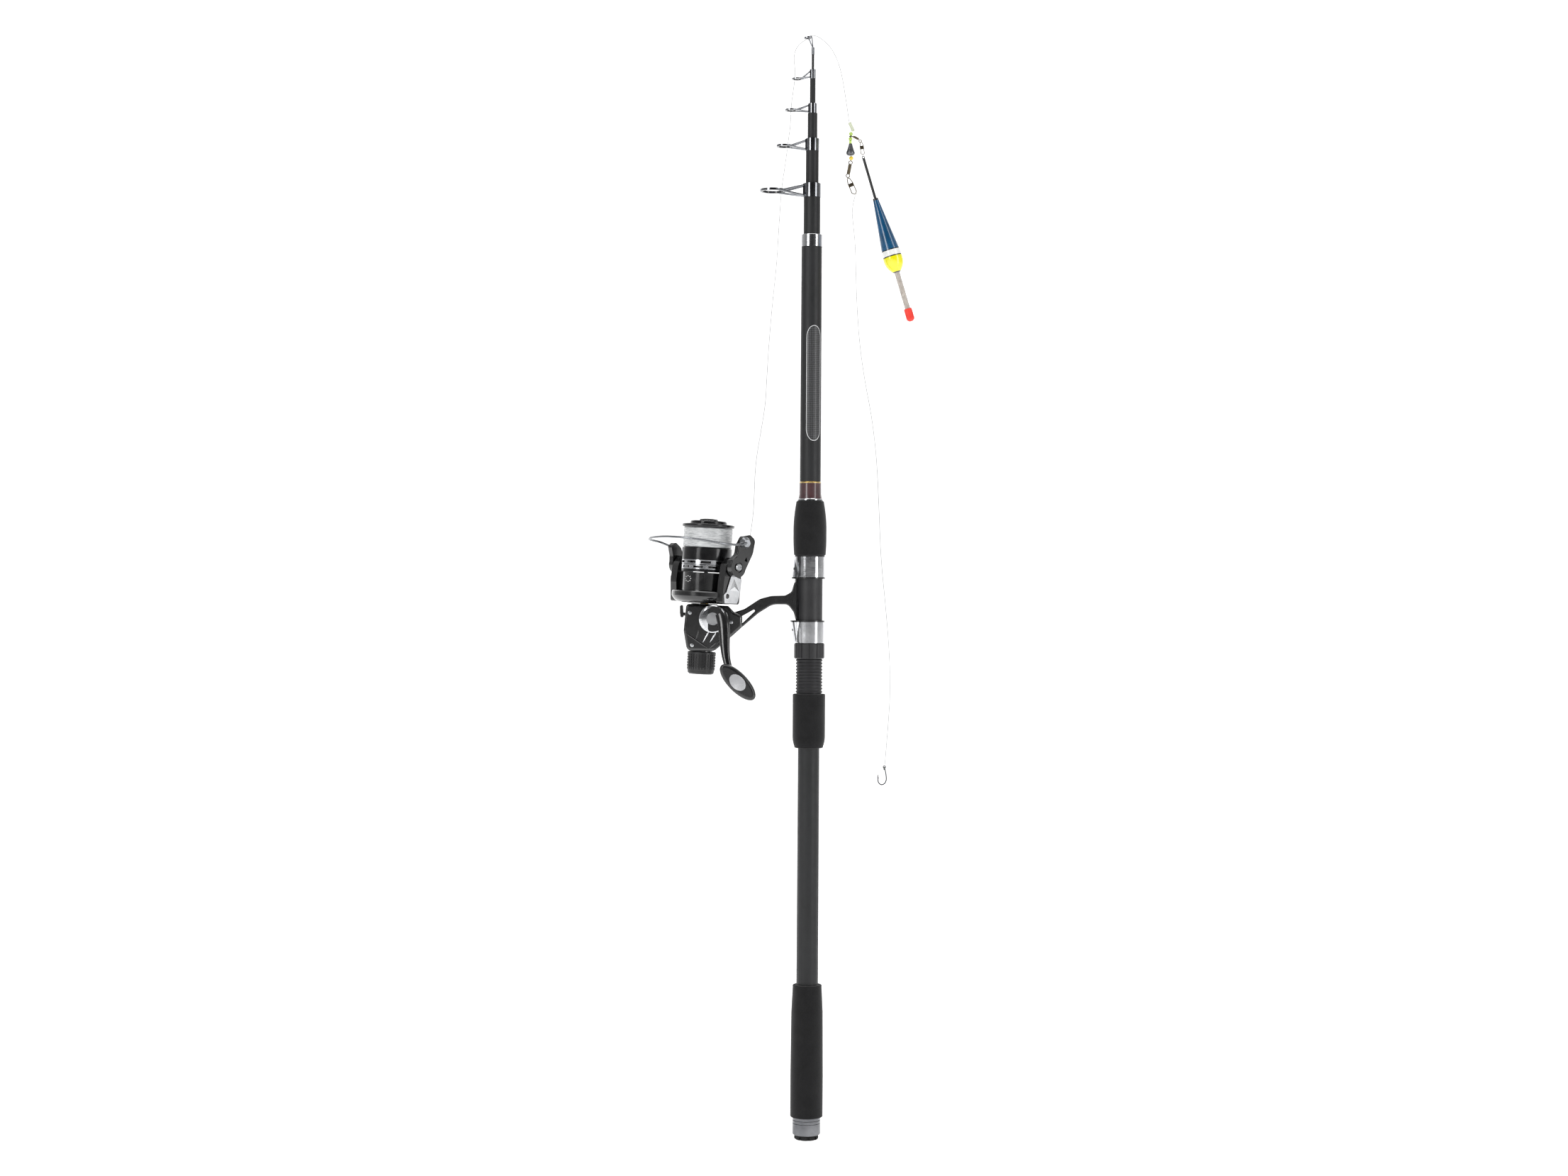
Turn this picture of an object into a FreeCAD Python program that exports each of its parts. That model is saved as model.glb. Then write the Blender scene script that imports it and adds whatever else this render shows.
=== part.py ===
import FreeCAD, Part
import math
import os

# Telescopic rod with a rear-drag spinning reel and a float rig, in millimetres.
# +Z runs up the rod from the flat of its rubber foot, the reel hangs towards -X, and the crank is on -Y.

os.makedirs("parts", exist_ok=True)
V = FreeCAD.Vector
ORIGIN, X, Y, Z = V(0, 0, 0), V(1, 0, 0), V(0, 1, 0), V(0, 0, 1)

# ---- rod: driving dimensions ----
FOOT_H, FOOT_R, FOOT_LOBES = 4.4, 11.5, 9
CAP_TOP, CAP_R = 21.3, 13.4
BLANK_BOTTOM, BLANK_TOP = 10.0, 858.0
BLANK_R_BOTTOM, BLANK_R_TOP, BLANK_BORE = 10.45, 9.7, 8.75
REAR_GRIP = (21.3, 146.8)
MIDDLE_GRIP = (372.1, 423.4)
SEAT = (423.4, 555.4)
FORE_GRIP = (555.4, 606.8)
WINDING = (609.0, 625.5)
MOUTH = (848.7, 860.4)
SECTION_FOOT = 24.3                 # every inner section rests just above the butt plug
# name: radius at its foot, radius at its top, bore, height of its top, spigot radius and its start
SECTIONS = {
    "section_2": (8.65, 7.87, 6.95, 908.6, 7.87, 896.0),
    "section_3": (6.85, 6.05, 5.25, 951.4, 6.05, 940.0),
    "section_4": (5.15, 4.55, 3.30, 984.9, 3.65, 976.0),
    "section_5": (3.20, 2.60, 1.95, 1017.4, 2.30, 1009.0),
    "section_6": (1.85, 1.15, 0.00, 1037.6, 1.15, 1031.9),
}
# name: collar foot and top, collar bore and outer radius, ring centre x and z, ring radius, wire radius
GUIDES = {
    "guide_1": (896.0, 909.0, 7.90, 8.30, -37.4, 902.3, 12.3, 0.95),
    "guide_2": (940.0, 951.8, 6.08, 6.45, -26.6, 944.8, 7.6, 0.75),
    "guide_3": (976.0, 985.3, 3.67, 4.00, -20.2, 979.0, 6.0, 0.60),
    "guide_4": (1009.0, 1017.8, 2.32, 2.70, -14.9, 1008.7, 5.0, 0.50),
}
TIP_RING_X, TIP_RING_Z, TIP_RING_R = -4.6, 1048.0, 3.9

# ---- reel seat ----
SEAT_R, THREAD_CREST, THREAD_ROOT, THREAD_PITCH = 12.25, 12.75, 11.85, 3.0
THREAD_TOP = 474.0
SLIDE_BORE = 12.85                  # nut and sliding hood clear the thread crest by 0.10
NUT = (457.0, 471.8)
NUT_R, NUT_PANELS = 14.4, 12
SLIDING_HOOD = (472.8, 491.8)
FIXED_HOOD = (534.4, 553.8)
RIM_H = 1.5
FOOT_FACE_X = -10.6                 # flat of the seat that the reel foot lies on
FOOT_SPAN = (480.0, 547.0)

# ---- reel: everything on the spool axis is drawn upright at this height and then leant ----
SPOOL_LEAN = 2.74                   # degrees, top towards the rod
LEAN_Z, LEAN_X = 520.0, -99.56      # the point of the spool axis about which it leans
ARM_AZIMUTH = -44.0                 # degrees, direction of the bail arm around the spool axis
PIVOT_Z = 544.6
SHAFT_R = 2.0
SKIRT_R, SKIRT_BORE = 23.7, 22.8
CLICKER_R, CLICKER_BORE = 19.5, 18.3   # tube inside the skirt; the rotor's wall runs between the two
CRANK_X, CRANK_Z = -91.1, 494.5
KNOB_X, KNOB_Z = -66.7, 436.6
CASE_BACK, CASE_FRONT = 13.0, -15.0  # y of the cover joint and of the crank-side wall
GEAR_TEETH, PINION_TEETH = 45, 9
GEAR_R, PINION_R = 10.9, 4.1
OSCILLATOR = (-102.5, 479.5)
OSCILLATOR_R, OSCILLATOR_DRIVER_R = 11.2, 7.45
LEVER_X, LEVER_Z, LEVER_PIN_R = -120.4, 498.6, 1.5

# ---- line and rig ----
LINE_D = 0.4
HOOK_WIRE_R = 0.5
FLOAT_X, FLOAT_Z, FLOAT_LEAN = 48.3, 935.0, 16.7


# ---------------------------------------------------------------- helpers
def lathe(profile):
    """Solid of revolution about Z. A corner is (radius, height); with four numbers it is reached by
    an arc through its last two."""
    points = [V(corner[0], 0, corner[1]) for corner in profile]
    edges = []
    for i, start in enumerate(points):
        corner = profile[(i + 1) % len(profile)]
        end = V(corner[0], 0, corner[1])
        if len(corner) == 4:
            edges.append(Part.Arc(start, V(corner[2], 0, corner[3]), end).toShape())
        elif start.distanceToPoint(end) > 1e-6:
            edges.append(Part.LineSegment(start, end).toShape())
    return Part.Face(Part.Wire(edges)).revolve(ORIGIN, Z, 360)


def long_tube(profile, strips=20):
    """Long thin-walled tube about Z, its round faces laid as equal strips side by side."""
    outline = Part.makePolygon([V(r, 0, z) for r, z in profile + profile[:1]])
    strip = outline.revolve(ORIGIN, Z, 360.0 / strips)
    faces = []
    for i in range(strips):
        turned = strip.copy()
        turned.rotate(ORIGIN, Z, 360.0 / strips * i)
        faces += turned.Faces
    shell = Part.makeCompound(faces)
    shell.sewShape()
    return Part.Solid(shell.Shells[0])


def ring(outer, inner, low, high):
    return lathe([(inner, low), (outer, low), (outer, high), (inner, high)])


def rounded_path(points, radii, closed):
    """Straight runs joined by tangent arcs; a radius of 0 keeps that corner sharp."""
    count = len(points)
    corners = []
    for i, (corner, radius) in enumerate(zip(points, radii)):
        if radius <= 0 or (not closed and i in (0, count - 1)):
            corners.append((corner, None, corner))
            continue
        back = (points[i - 1] - corner).normalize()
        ahead = (points[(i + 1) % count] - corner).normalize()
        half = back.getAngle(ahead) / 2
        reach = radius / math.tan(half)
        bisector = (back + ahead).normalize()
        middle = corner + bisector * (radius / math.sin(half) - radius)
        corners.append((corner + back * reach, middle, corner + ahead * reach))
    edges = []
    for i in range(count if closed else count - 1):
        start, after = corners[i][2], corners[(i + 1) % count]
        if start.distanceToPoint(after[0]) > 1e-6:
            edges.append(Part.LineSegment(start, after[0]).toShape())
        if after[1] is not None:
            edges.append(Part.Arc(*after).toShape())
    return Part.Wire(edges)


def slab(outline, y_from, y_to):
    """Plate of an XZ outline of (x, z, corner radius), between two values of y."""
    points = [V(x, y_from, z) for x, z, radius in outline]
    wire = rounded_path(points, [radius for x, z, radius in outline], True)
    return Part.Face(wire).extrude(V(0, y_to - y_from, 0))


def arm_plate(outline, x_from, x_to):
    """Plate of a YZ outline of (y, z, corner radius), between two values of x."""
    points = [V(x_from, y, z) for y, z, radius in outline]
    wire = rounded_path(points, [radius for y, z, radius in outline], True)
    return Part.Face(wire).extrude(V(x_to - x_from, 0, 0))


def rod_between(start, end, radius, end_radius=None):
    along = end - start
    if end_radius is None:
        return Part.makeCylinder(radius, along.Length, start, along)
    return Part.makeCone(radius, end_radius, along.Length, start, along)


def wire_tube(points, radius, bends):
    """Round wire along straight runs and tangent arcs."""
    path = rounded_path(points, bends, False)
    section = Part.Wire([Part.Circle(points[0], points[1] - points[0], radius).toShape()])
    return path.makePipeShell([section], True, False)


def eye(centre, normal, outer, wire_radius):
    return Part.makeTorus(outer - wire_radius, wire_radius, centre, normal)


def fused(shapes):
    return shapes[0].multiFuse(shapes[1:]).removeSplitter()


def notched(body, radius, depth, count, low, high, width):
    """Cuts evenly spaced upright grooves into a round body's rim."""
    cutters = []
    for i in range(count):
        cutter = Part.makeBox(2 * depth, width, high - low, V(radius - depth, -width / 2, low))
        cutter.rotate(ORIGIN, Z, 360.0 * i / count)
        cutters.append(cutter)
    return body.cut(cutters)


def toothed(radius, depth, count, low, high):
    """Spur wheel about Z with square-cut teeth."""
    wheel = Part.makeCylinder(radius, high - low, V(0, 0, low))
    return notched(wheel, radius, depth, count, low, high, math.pi * radius / count)


def along_y(shape, x, z):
    """Lays a part drawn about Z onto the Y axis, its height running towards +Y, through (x, z)."""
    shape.rotate(ORIGIN, X, -90)
    shape.translate(V(x, 0, z))
    return shape


def leant(shape):
    """Leans a part drawn upright about the origin onto the spool axis."""
    shape.translate(V(0, 0, -LEAN_Z))
    shape.rotate(ORIGIN, Y, SPOOL_LEAN)
    shape.translate(V(LEAN_X, 0, LEAN_Z))
    return shape


def on_rotor(shape):
    """Turns a part drawn with the bail arm towards +X to its azimuth and leans it."""
    shape.rotate(ORIGIN, Z, ARM_AZIMUTH)
    return leant(shape)


def save(name, *solids):
    shape = solids[0] if len(solids) == 1 else Part.makeCompound(list(solids))
    if not shape.isValid() or len(shape.Solids) < len(solids):
        print("BAD SHAPE", name)
    shape.exportStep("parts/%s.step" % name)


# ---------------------------------------------------------------- rod
def blank_r(height):
    share = (height - BLANK_BOTTOM) / (BLANK_TOP - BLANK_BOTTOM)
    return BLANK_R_BOTTOM + share * (BLANK_R_TOP - BLANK_R_BOTTOM)


def sleeve(span, outline):
    """Ring on the blank whose bore follows the blank's taper."""
    low, high = span
    return lathe([(blank_r(low), low)] + outline + [(blank_r(high), high)])


def make_handle():
    foot = lathe([(0, 0), (FOOT_R - 1, 0), (FOOT_R, 1), (FOOT_R, FOOT_H), (0, FOOT_H)])
    save("butt_foot", notched(foot, FOOT_R, 1.5, FOOT_LOBES, 0, FOOT_H - 1.2, 2.6))
    socket, plug_r = blank_r(BLANK_BOTTOM) + 0.02, BLANK_BORE - 0.05
    save("butt_cap", lathe([
        (0, FOOT_H), (CAP_R - 1.4, FOOT_H), (CAP_R, FOOT_H + 1.4, CAP_R - 0.4, FOOT_H + 0.4),
        (CAP_R, 15.2), (CAP_R - 0.7, 15.4), (CAP_R - 0.7, 16.4), (CAP_R, 16.6), (CAP_R, 18.2),
        (CAP_R - 0.7, 18.4), (CAP_R - 0.7, 19.4), (CAP_R, 19.6), (CAP_R, CAP_TOP),
        (socket, CAP_TOP), (socket, BLANK_BOTTOM), (plug_r, BLANK_BOTTOM),
        (plug_r, SECTION_FOOT - 0.3), (0, SECTION_FOOT - 0.3)]))
    save("butt_blank", long_tube([
        (BLANK_BORE, BLANK_BOTTOM), (BLANK_R_BOTTOM, BLANK_BOTTOM),
        (BLANK_R_TOP, BLANK_TOP), (BLANK_BORE, BLANK_TOP)]))
    low, high = REAR_GRIP
    save("rear_grip", sleeve(REAR_GRIP, [
        (14.7, low), (15.5, low + 1.2, 15.3, low + 0.3), (15.5, 60), (15.0, 121),
        (13.8, high - 1.5), (12.6, high, 13.6, high - 0.4)]))
    low, high = MIDDLE_GRIP
    save("middle_grip", sleeve(MIDDLE_GRIP, [
        (12.7, low), (13.65, low + 1.2, 13.45, low + 0.3), (15.45, low + 11, 14.9, low + 5.5),
        (15.45, high - 1.2), (14.4, high, 15.2, high - 0.3)]))
    low, high = FORE_GRIP
    save("fore_grip", sleeve(FORE_GRIP, [
        (14.4, low), (15.1, low + 1.0, 14.95, low + 0.3), (15.75, low + 20, 15.65, low + 10),
        (13.2, high - 1.2, 15.0, low + 38), (12.3, high, 13.0, high - 0.3)]))
    low, high = WINDING
    check = sleeve((607.0, low), [(12.0, 607.0), (12.4, 607.5), (12.4, 608.5), (11.9, low)])
    silk = sleeve(WINDING, [
        (11.5, low), (10.5, low + 6, 10.7, low + 3), (10.4, high - 2.0), (10.5, high - 1.0),
        (blank_r(high) + 0.15, high)])
    save("handle_winding", check, silk)
    low, high = MOUTH
    inner, outer, lip = blank_r(low) + 0.02, 10.3, 8.72
    save("mouth_ring", lathe([
        (inner, low), (outer, low), (outer, high - 0.8), (outer - 0.8, high, outer - 0.2, high - 0.2),
        (lip, high), (lip, BLANK_TOP), (inner, BLANK_TOP)]))


def make_sections():
    for name, (foot_r, top_r, bore, top, spigot_r, spigot) in SECTIONS.items():
        outer = [(foot_r, SECTION_FOOT), (top_r, spigot), (spigot_r, spigot), (spigot_r, top)]
        profile = [(bore, SECTION_FOOT)] + outer + [(bore, top)]
        save(name, long_tube(profile) if bore else lathe(profile))


def make_guides():
    for name, (low, high, bore, collar_r, ring_x, ring_z, ring_r, wire_r) in GUIDES.items():
        collar = ring(collar_r, bore, low, high)
        insert_r = ring_r - 1.7 * wire_r
        hoop = ring(ring_r, insert_r, ring_z - 1.1 * wire_r, ring_z + 1.1 * wire_r)
        hoop.translate(V(ring_x, 0, 0))
        root_x, root_y = -(collar_r + bore) / 2 * 0.92, (collar_r + bore) / 2 * 0.36
        grip_r = ring_r - 0.9 * wire_r
        legs = []
        for side in (-1, 1):
            for share, foot_z in ((0.97, low + 1.6), (0.55, high - 1.6)):
                start = V(ring_x + grip_r * math.sqrt(1 - share * share), side * grip_r * share, ring_z)
                legs.append(rod_between(start, V(root_x, side * root_y, foot_z), wire_r))
        bar_r = wire_r * 1.1
        bar = Part.makeBox(collar_r * 0.3, 2 * root_y + 2, high - low - 1.2,
                           V(-collar_r * 1.06, -root_y - 1, low + 0.6))
        core = Part.makeCylinder(bore, high - low + 20, V(0, 0, low - 10))
        frame = fused([collar, hoop, bar] + legs).cut(core)
        opening = Part.makeCylinder(insert_r, 30, V(ring_x, 0, ring_z - 15))
        frame = fused([frame.cut(opening)])
        insert = ring(insert_r, insert_r - bar_r, ring_z - bar_r, ring_z + bar_r)
        insert.translate(V(ring_x, 0, 0))
        save(name, frame, insert)


def make_tip_top():
    top_r, top = SECTIONS["section_6"][1], SECTIONS["section_6"][3]
    tube = lathe([(top_r + 0.02, 1031.9), (1.5, 1031.9), (1.5, 1038.6), (0, 1038.6), (0, top + 0.1),
                  (top_r + 0.02, top + 0.1)])
    hoop = ring(TIP_RING_R, TIP_RING_R - 0.8, -0.7, 0.7)
    insert = ring(TIP_RING_R - 0.8, TIP_RING_R - 1.5, -0.75, 0.75)
    for part in (hoop, insert):
        part.rotate(ORIGIN, Y, -8)
        part.translate(V(TIP_RING_X, 0, TIP_RING_Z))
    legs = [rod_between(V(-0.3, side * 0.7, 1038.3), V(TIP_RING_X + 0.4, side * 3.3, TIP_RING_Z - 0.2), 0.45)
            for side in (-1, 1)]
    legs.append(rod_between(V(0, 0, 1038.3), V(TIP_RING_X + 3.6, 0, TIP_RING_Z + 0.3), 0.5))
    core = Part.makeCylinder(TIP_RING_R - 0.8, 6, V(0, 0, -3))
    core.rotate(ORIGIN, Y, -8)
    core.translate(V(TIP_RING_X, 0, TIP_RING_Z))
    save("tip_top", fused([tube, hoop] + legs).cut(core), insert)


# ---------------------------------------------------------------- reel seat
def lobe(low, high, low_r, low_reach, high_r, high_reach):
    """Raised channel over the reel foot: a lofted round standing out to the given values of -x."""
    circles = [Part.Wire([Part.Circle(V(radius - reach, 0, height), Z, radius).toShape()])
               for radius, reach, height in ((low_r, low_reach, low), (high_r, high_reach, high))]
    return Part.makeLoft(circles, True, True)


def make_seat():
    low, high = SEAT
    thread = []
    turns = int((THREAD_TOP - low) / THREAD_PITCH)
    for i in range(turns):
        start = low + i * THREAD_PITCH
        thread += [(THREAD_ROOT, start + 0.2), (THREAD_ROOT, start + 1.0),
                   (THREAD_CREST, start + 1.6), (THREAD_CREST, start + 2.4)]
    body = sleeve(SEAT, [(THREAD_ROOT, low)] + thread + [
        (THREAD_ROOT, low + turns * THREAD_PITCH), (SEAT_R, THREAD_TOP + 1),
        (SEAT_R, FIXED_HOOD[1]), (14.2, FIXED_HOOD[1]), (14.2, high - 0.4), (13.8, high)])
    flat = Part.makeBox(6, 22, FOOT_SPAN[1] - FOOT_SPAN[0] + 1,
                        V(FOOT_FACE_X - 6, -11, FOOT_SPAN[0] - 0.5))
    save("reel_seat", body.cut(flat))

    nut = lathe([(SLIDE_BORE, NUT[0]), (NUT_R - 0.9, NUT[0]), (NUT_R, NUT[0] + 0.9),
                 (NUT_R, NUT[1] - 0.9), (NUT_R - 0.9, NUT[1]), (SLIDE_BORE, NUT[1])])
    save("lock_nut", notched(nut, NUT_R, 0.6, NUT_PANELS, NUT[0], NUT[1], 0.8))

    low, high = SLIDING_HOOD
    shell = fused([ring(14.4, SLIDE_BORE, low, high), lobe(low, high, 9.6, 15.2, 10.8, 18.0),
                   ring(13.6, SLIDE_BORE, low - 0.8, low)])
    shell = shell.cut([Part.makeCylinder(SLIDE_BORE, 40, V(0, 0, low - 10)),
                       Part.makeCylinder(8.9, 20, V(-6.2, 0, low + 5.5))])
    rim = fused([Part.makeCylinder(14.6, RIM_H, V(0, 0, high)), lobe(high, high + RIM_H, 11.0, 18.2, 11, 18.2)])
    rim = rim.cut([Part.makeCylinder(SEAT_R + 0.08, 10, V(0, 0, high - 1)),
                   Part.makeCylinder(8.9, 10, V(-6.2, 0, high - 1))])
    save("moving_hood", shell, rim)

    low, high = FIXED_HOOD
    shell = fused([ring(14.6, SEAT_R, low, high), lobe(low, high, 10.6, 17.0, 9.2, 14.7)])
    shell = shell.cut([Part.makeCylinder(SEAT_R, 40, V(0, 0, low - 10)),
                       Part.makeCylinder(8.5, 20, V(-5.9, 0, high - 5.5 - 20))])
    rim = fused([Part.makeCylinder(14.8, RIM_H, V(0, 0, low - RIM_H)),
                 lobe(low - RIM_H, low, 10.8, 17.3, 10.8, 17.3)])
    rim = rim.cut([Part.makeCylinder(SEAT_R, 10, V(0, 0, low - 5)),
                   Part.makeCylinder(8.5, 10, V(-5.9, 0, low - 5))])
    save("fixed_hood", shell, rim)


# ---------------------------------------------------------------- reel housing
SCREWS = [(-112.6, 502.3), (-113.0, 470.2), (-75.6, 494.2)]
CASE = [(-116.8, 508.4, 3), (-119.3, 483, 8), (-116, 464, 5), (-90, 463.8, 8), (-72.2, 479, 6),
        (-64.2, 486.3, 3), (-64.2, 497.5, 3), (-71.4, 500.9, 4), (-77, 506.6, 3)]
CAVITY = [(-113.8, 505.6, 2), (-116.2, 483, 6), (-113.2, 466.9, 3), (-91, 466.9, 6), (-74, 481.6, 4),
          (-67.2, 487.8, 1), (-67.2, 495.4, 1), (-73, 498.4, 3), (-79.4, 505.6, 2)]
STEM = [(-76, 498.6, 0), (-71, 500.9, 3), (-61.9, 503.8, 12), (-47.2, 513.6, 14), (-36.6, 516.5, 14),
        (-23.2, 516.9, 6), (-17.2, 520.4, 5), (-14.8, 529, 0), (FOOT_FACE_X, 531, 0),
        (FOOT_FACE_X, 495, 0), (-13.4, 495, 0), (-15.2, 501, 5), (-20.6, 508.3, 6),
        (-35.2, 508.3, 16), (-48.6, 499.8, 12), (-72.0, 479.6, 0), (-76, 483, 0)]
FOOT_SIDE = [(FOOT_FACE_X, FOOT_SPAN[1], 0), (-12.6, 546.6, 0.6), (-14.0, 531.8, 10), (-17.0, 520.4, 3),
             (-17.0, 505, 3), (-12.7, 492.5, 10), (-12.0, 480.4, 0.6), (FOOT_FACE_X, FOOT_SPAN[0], 0)]
WINDOW = [(-65.3, 496.4, 1.2), (-46.6, 506.9, 1), (-65.3, 488.9, 1.2)]
FOOT_PLAN = [(-5.2, 480, 2), (-7.2, 492, 6), (-7.6, 513, 30), (-6.9, 532, 6), (-5.2, 547, 2),
             (5.2, 547, 2), (6.9, 532, 6), (7.6, 513, 30), (7.2, 492, 6), (5.2, 480, 2)]


def softened(solid, radius, faces_at_y):
    """Rounds the rims of the flat faces at the given values of y."""
    rims = [edge for edge in solid.Edges
            if any(edge.BoundBox.YMin > y - 0.01 and edge.BoundBox.YMax < y + 0.01 for y in faces_at_y)]
    return solid.makeFillet(radius, rims)


def softened_stem(solid, radius, half_wide):
    """Rounds the long upper and lower rims of the reel stem."""
    for x, z in ((-60.0, 490.0), (-54.0, 509.0)):
        for y in (-half_wide, half_wide):
            spot = Part.Vertex(x, y, z)
            rim = min(solid.Edges, key=lambda edge: spot.distToShape(edge)[0])
            solid = solid.makeFillet(radius, [rim])
    return solid


def make_housing():
    case = softened(slab(CASE, CASE_FRONT, CASE_BACK), 2.5, [CASE_FRONT])
    stem = softened_stem(slab(STEM, -5.0, 5.0), 1.2, 5.0)
    foot = slab(FOOT_SIDE, -9, 9).common(Part.makeCylinder(8.2, 80, V(-6.0, 0, 475)))
    foot = foot.common(arm_plate(FOOT_PLAN, -20, 0))
    boss = along_y(lathe([(0, -27), (11.6, -27), (12.4, -26.2), (12.8, -17), (12.9, -14.8), (0, -14)]),
                   CRANK_X, CRANK_Z)
    neck = leant(Part.makeCylinder(10, 14, V(0, 0, 452.5)))
    collar = leant(Part.makeCylinder(12.8, 6, V(0, 0, 502.6)))
    body = fused([case, boss, neck, collar, stem, foot])
    body = body.cut([
        slab(CAVITY, -12, CASE_BACK + 1),
        slab(WINDOW, -20, 20),
        along_y(Part.makeCylinder(4.6, 30, V(0, 0, -35)), CRANK_X, CRANK_Z),
        along_y(Part.makeCylinder(7.0, 10, V(0, 0, -32)), CRANK_X, CRANK_Z),
        leant(Part.makeCylinder(8.5, 9.9, V(0, 0, 452))),
        leant(Part.makeCylinder(2.4, 20, V(0, 0, 455))),
        leant(Part.makeCylinder(4.6, 20, V(0, 0, 500))),
        leant(Part.makeCylinder(6.0, 10, V(0, 0, 505.6))),
        Part.makeCylinder(LEVER_PIN_R + 0.06, 12, V(LEVER_X, 0, LEVER_Z), X),
    ])
    for x, z in SCREWS:
        body = body.cut(along_y(Part.makeCylinder(1.25, 10, V(0, 0, 4)), x, z))
    save("reel_body", body)


def make_side_cover():
    cover = softened(slab(CASE, CASE_BACK, 16.5), 2.0, [16.5])
    ring_seat = along_y(ring(9.0, 7.0, 9.2, CASE_BACK), CRANK_X, CRANK_Z)
    axle = along_y(Part.makeCylinder(1.9, CASE_BACK - 4.9, V(0, 0, 4.9)), *OSCILLATOR)
    cover = fused([cover, ring_seat, axle])
    for x, z in SCREWS:
        hole = lathe([(0, 12), (1.25, 12), (1.25, 14.6), (2.4, 14.6), (2.4, 18), (0, 18)])
        cover = cover.cut(along_y(hole, x, z))
    save("side_cover", cover)
    heads = []
    for x, z in SCREWS:
        screw = lathe([(0, 5), (1.2, 5), (1.2, 14.6), (2.3, 14.6), (2.3, 15.9), (1.8, 16.3), (0, 16.3)])
        screw = screw.cut(Part.makeBox(3.4, 0.6, 1, V(-1.7, -0.3, 15.6)))
        heads.append(along_y(screw.cut(Part.makeBox(0.6, 3.4, 1, V(-0.3, -1.7, 15.6))), x, z))
    save("housing_screws", *heads)


def make_gear_train():
    gear = toothed(GEAR_R, 1.0, GEAR_TEETH, -9.0, -4.45)
    driver = toothed(OSCILLATOR_DRIVER_R, 0.9, 18, 5.2, 8.2)
    shaft = Part.makeCylinder(4.0, 39.5, V(0, 0, -27.2))
    save("drive_gear", along_y(fused([gear, driver, shaft]), CRANK_X, CRANK_Z))

    wheel = toothed(OSCILLATOR_R, 0.9, 27, 5.2, 8.2)
    pin = Part.makeCylinder(1.4, 1.2, V(0, 7.0, 4.1))
    save("oscillation_gear", along_y(fused([wheel, pin]).cut(Part.makeCylinder(1.95, 20)), *OSCILLATOR))

    pinion = fused([toothed(PINION_R, 0.7, PINION_TEETH, 489.5, 499.0),
                    Part.makeCylinder(3.9, 14, V(0, 0, 499)), Part.makeCylinder(3.5, 14, V(0, 0, 512.9))])
    save("pinion", leant(pinion.cut(Part.makeCylinder(SHAFT_R + 0.1, 60, V(0, 0, 480)))))

    bearings = [leant(ring(6.0, 3.95, 505.6, 508.4)),
                along_y(ring(7.0, 4.05, -26.9, -22.2), CRANK_X, CRANK_Z),
                along_y(ring(7.0, 4.05, 9.2, 12.9), CRANK_X, CRANK_Z)]
    save("ball_bearings", *bearings)

    save("main_shaft", leant(Part.makeCylinder(SHAFT_R, 582.8 - 460, V(0, 0, 460))))
    slider = Part.makeBox(14, 7, 5, V(-10.5, -3.5, 482.5))
    save("shaft_slider", leant(slider.cut(Part.makeCylinder(SHAFT_R + 0.05, 20, V(0, 0, 475)))))
    discs = [leant(ring(8.3, 2.6, 453.2 + 1.7 * i, 454.7 + 1.7 * i)) for i in range(5)]
    save("drag_washers", *discs)


# ---------------------------------------------------------------- rotor and bail
ROTOR_ARM = [(-12.5, 509.6, 2), (-11.5, 530, 20), (-9.4, 546, 9.0), (0, 556.2, 6), (9.4, 546, 9.0),
             (11.5, 530, 20), (9.8, 509.6, 2)]
ROTOR_PLATE = [(-3.0, 536.4, 1), (11.0, 533.4, 1), (9.0, 517.2, 3), (6.2, 510.4, 1), (-10.2, 510.2, 1),
               (-11.4, 518.3, 1), (-8.4, 520.6, 1)]
BAIL_ARM = [(-9.0, 538.0, 6), (-9.4, 550.5, 5), (-1.5, 557.0, 6), (-0.5, 565.0, 6), (5.0, 574.0, 4),
            (14.5, 576.0, 4), (21.6, 571.5, 5), (19.2, 558.0, 14), (10.0, 541.5, 6), (3.0, 534.6, 6)]
BAIL_WINDOW = [(7.4, 551.2, 0.6), (10.3, 555.2, 0.6), (11.6, 549.8, 0.6)]
BAIL_ROUTE = [(-43.2, -7.0, 561.5), (-50.0, -15.5, 565.5), (-46.5, -33.0, 566.8), (-24.5, -51.5, 568.6),
              (2.0, -56.5, 570.0), (29.0, -48.5, 569.4), (46.5, -27.0, 566.0), (48.2, -8.0, 565.4),
              (46.4, 1.0, 567.0)]
ROLLER_AT = (17.4, 568.6)


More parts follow.
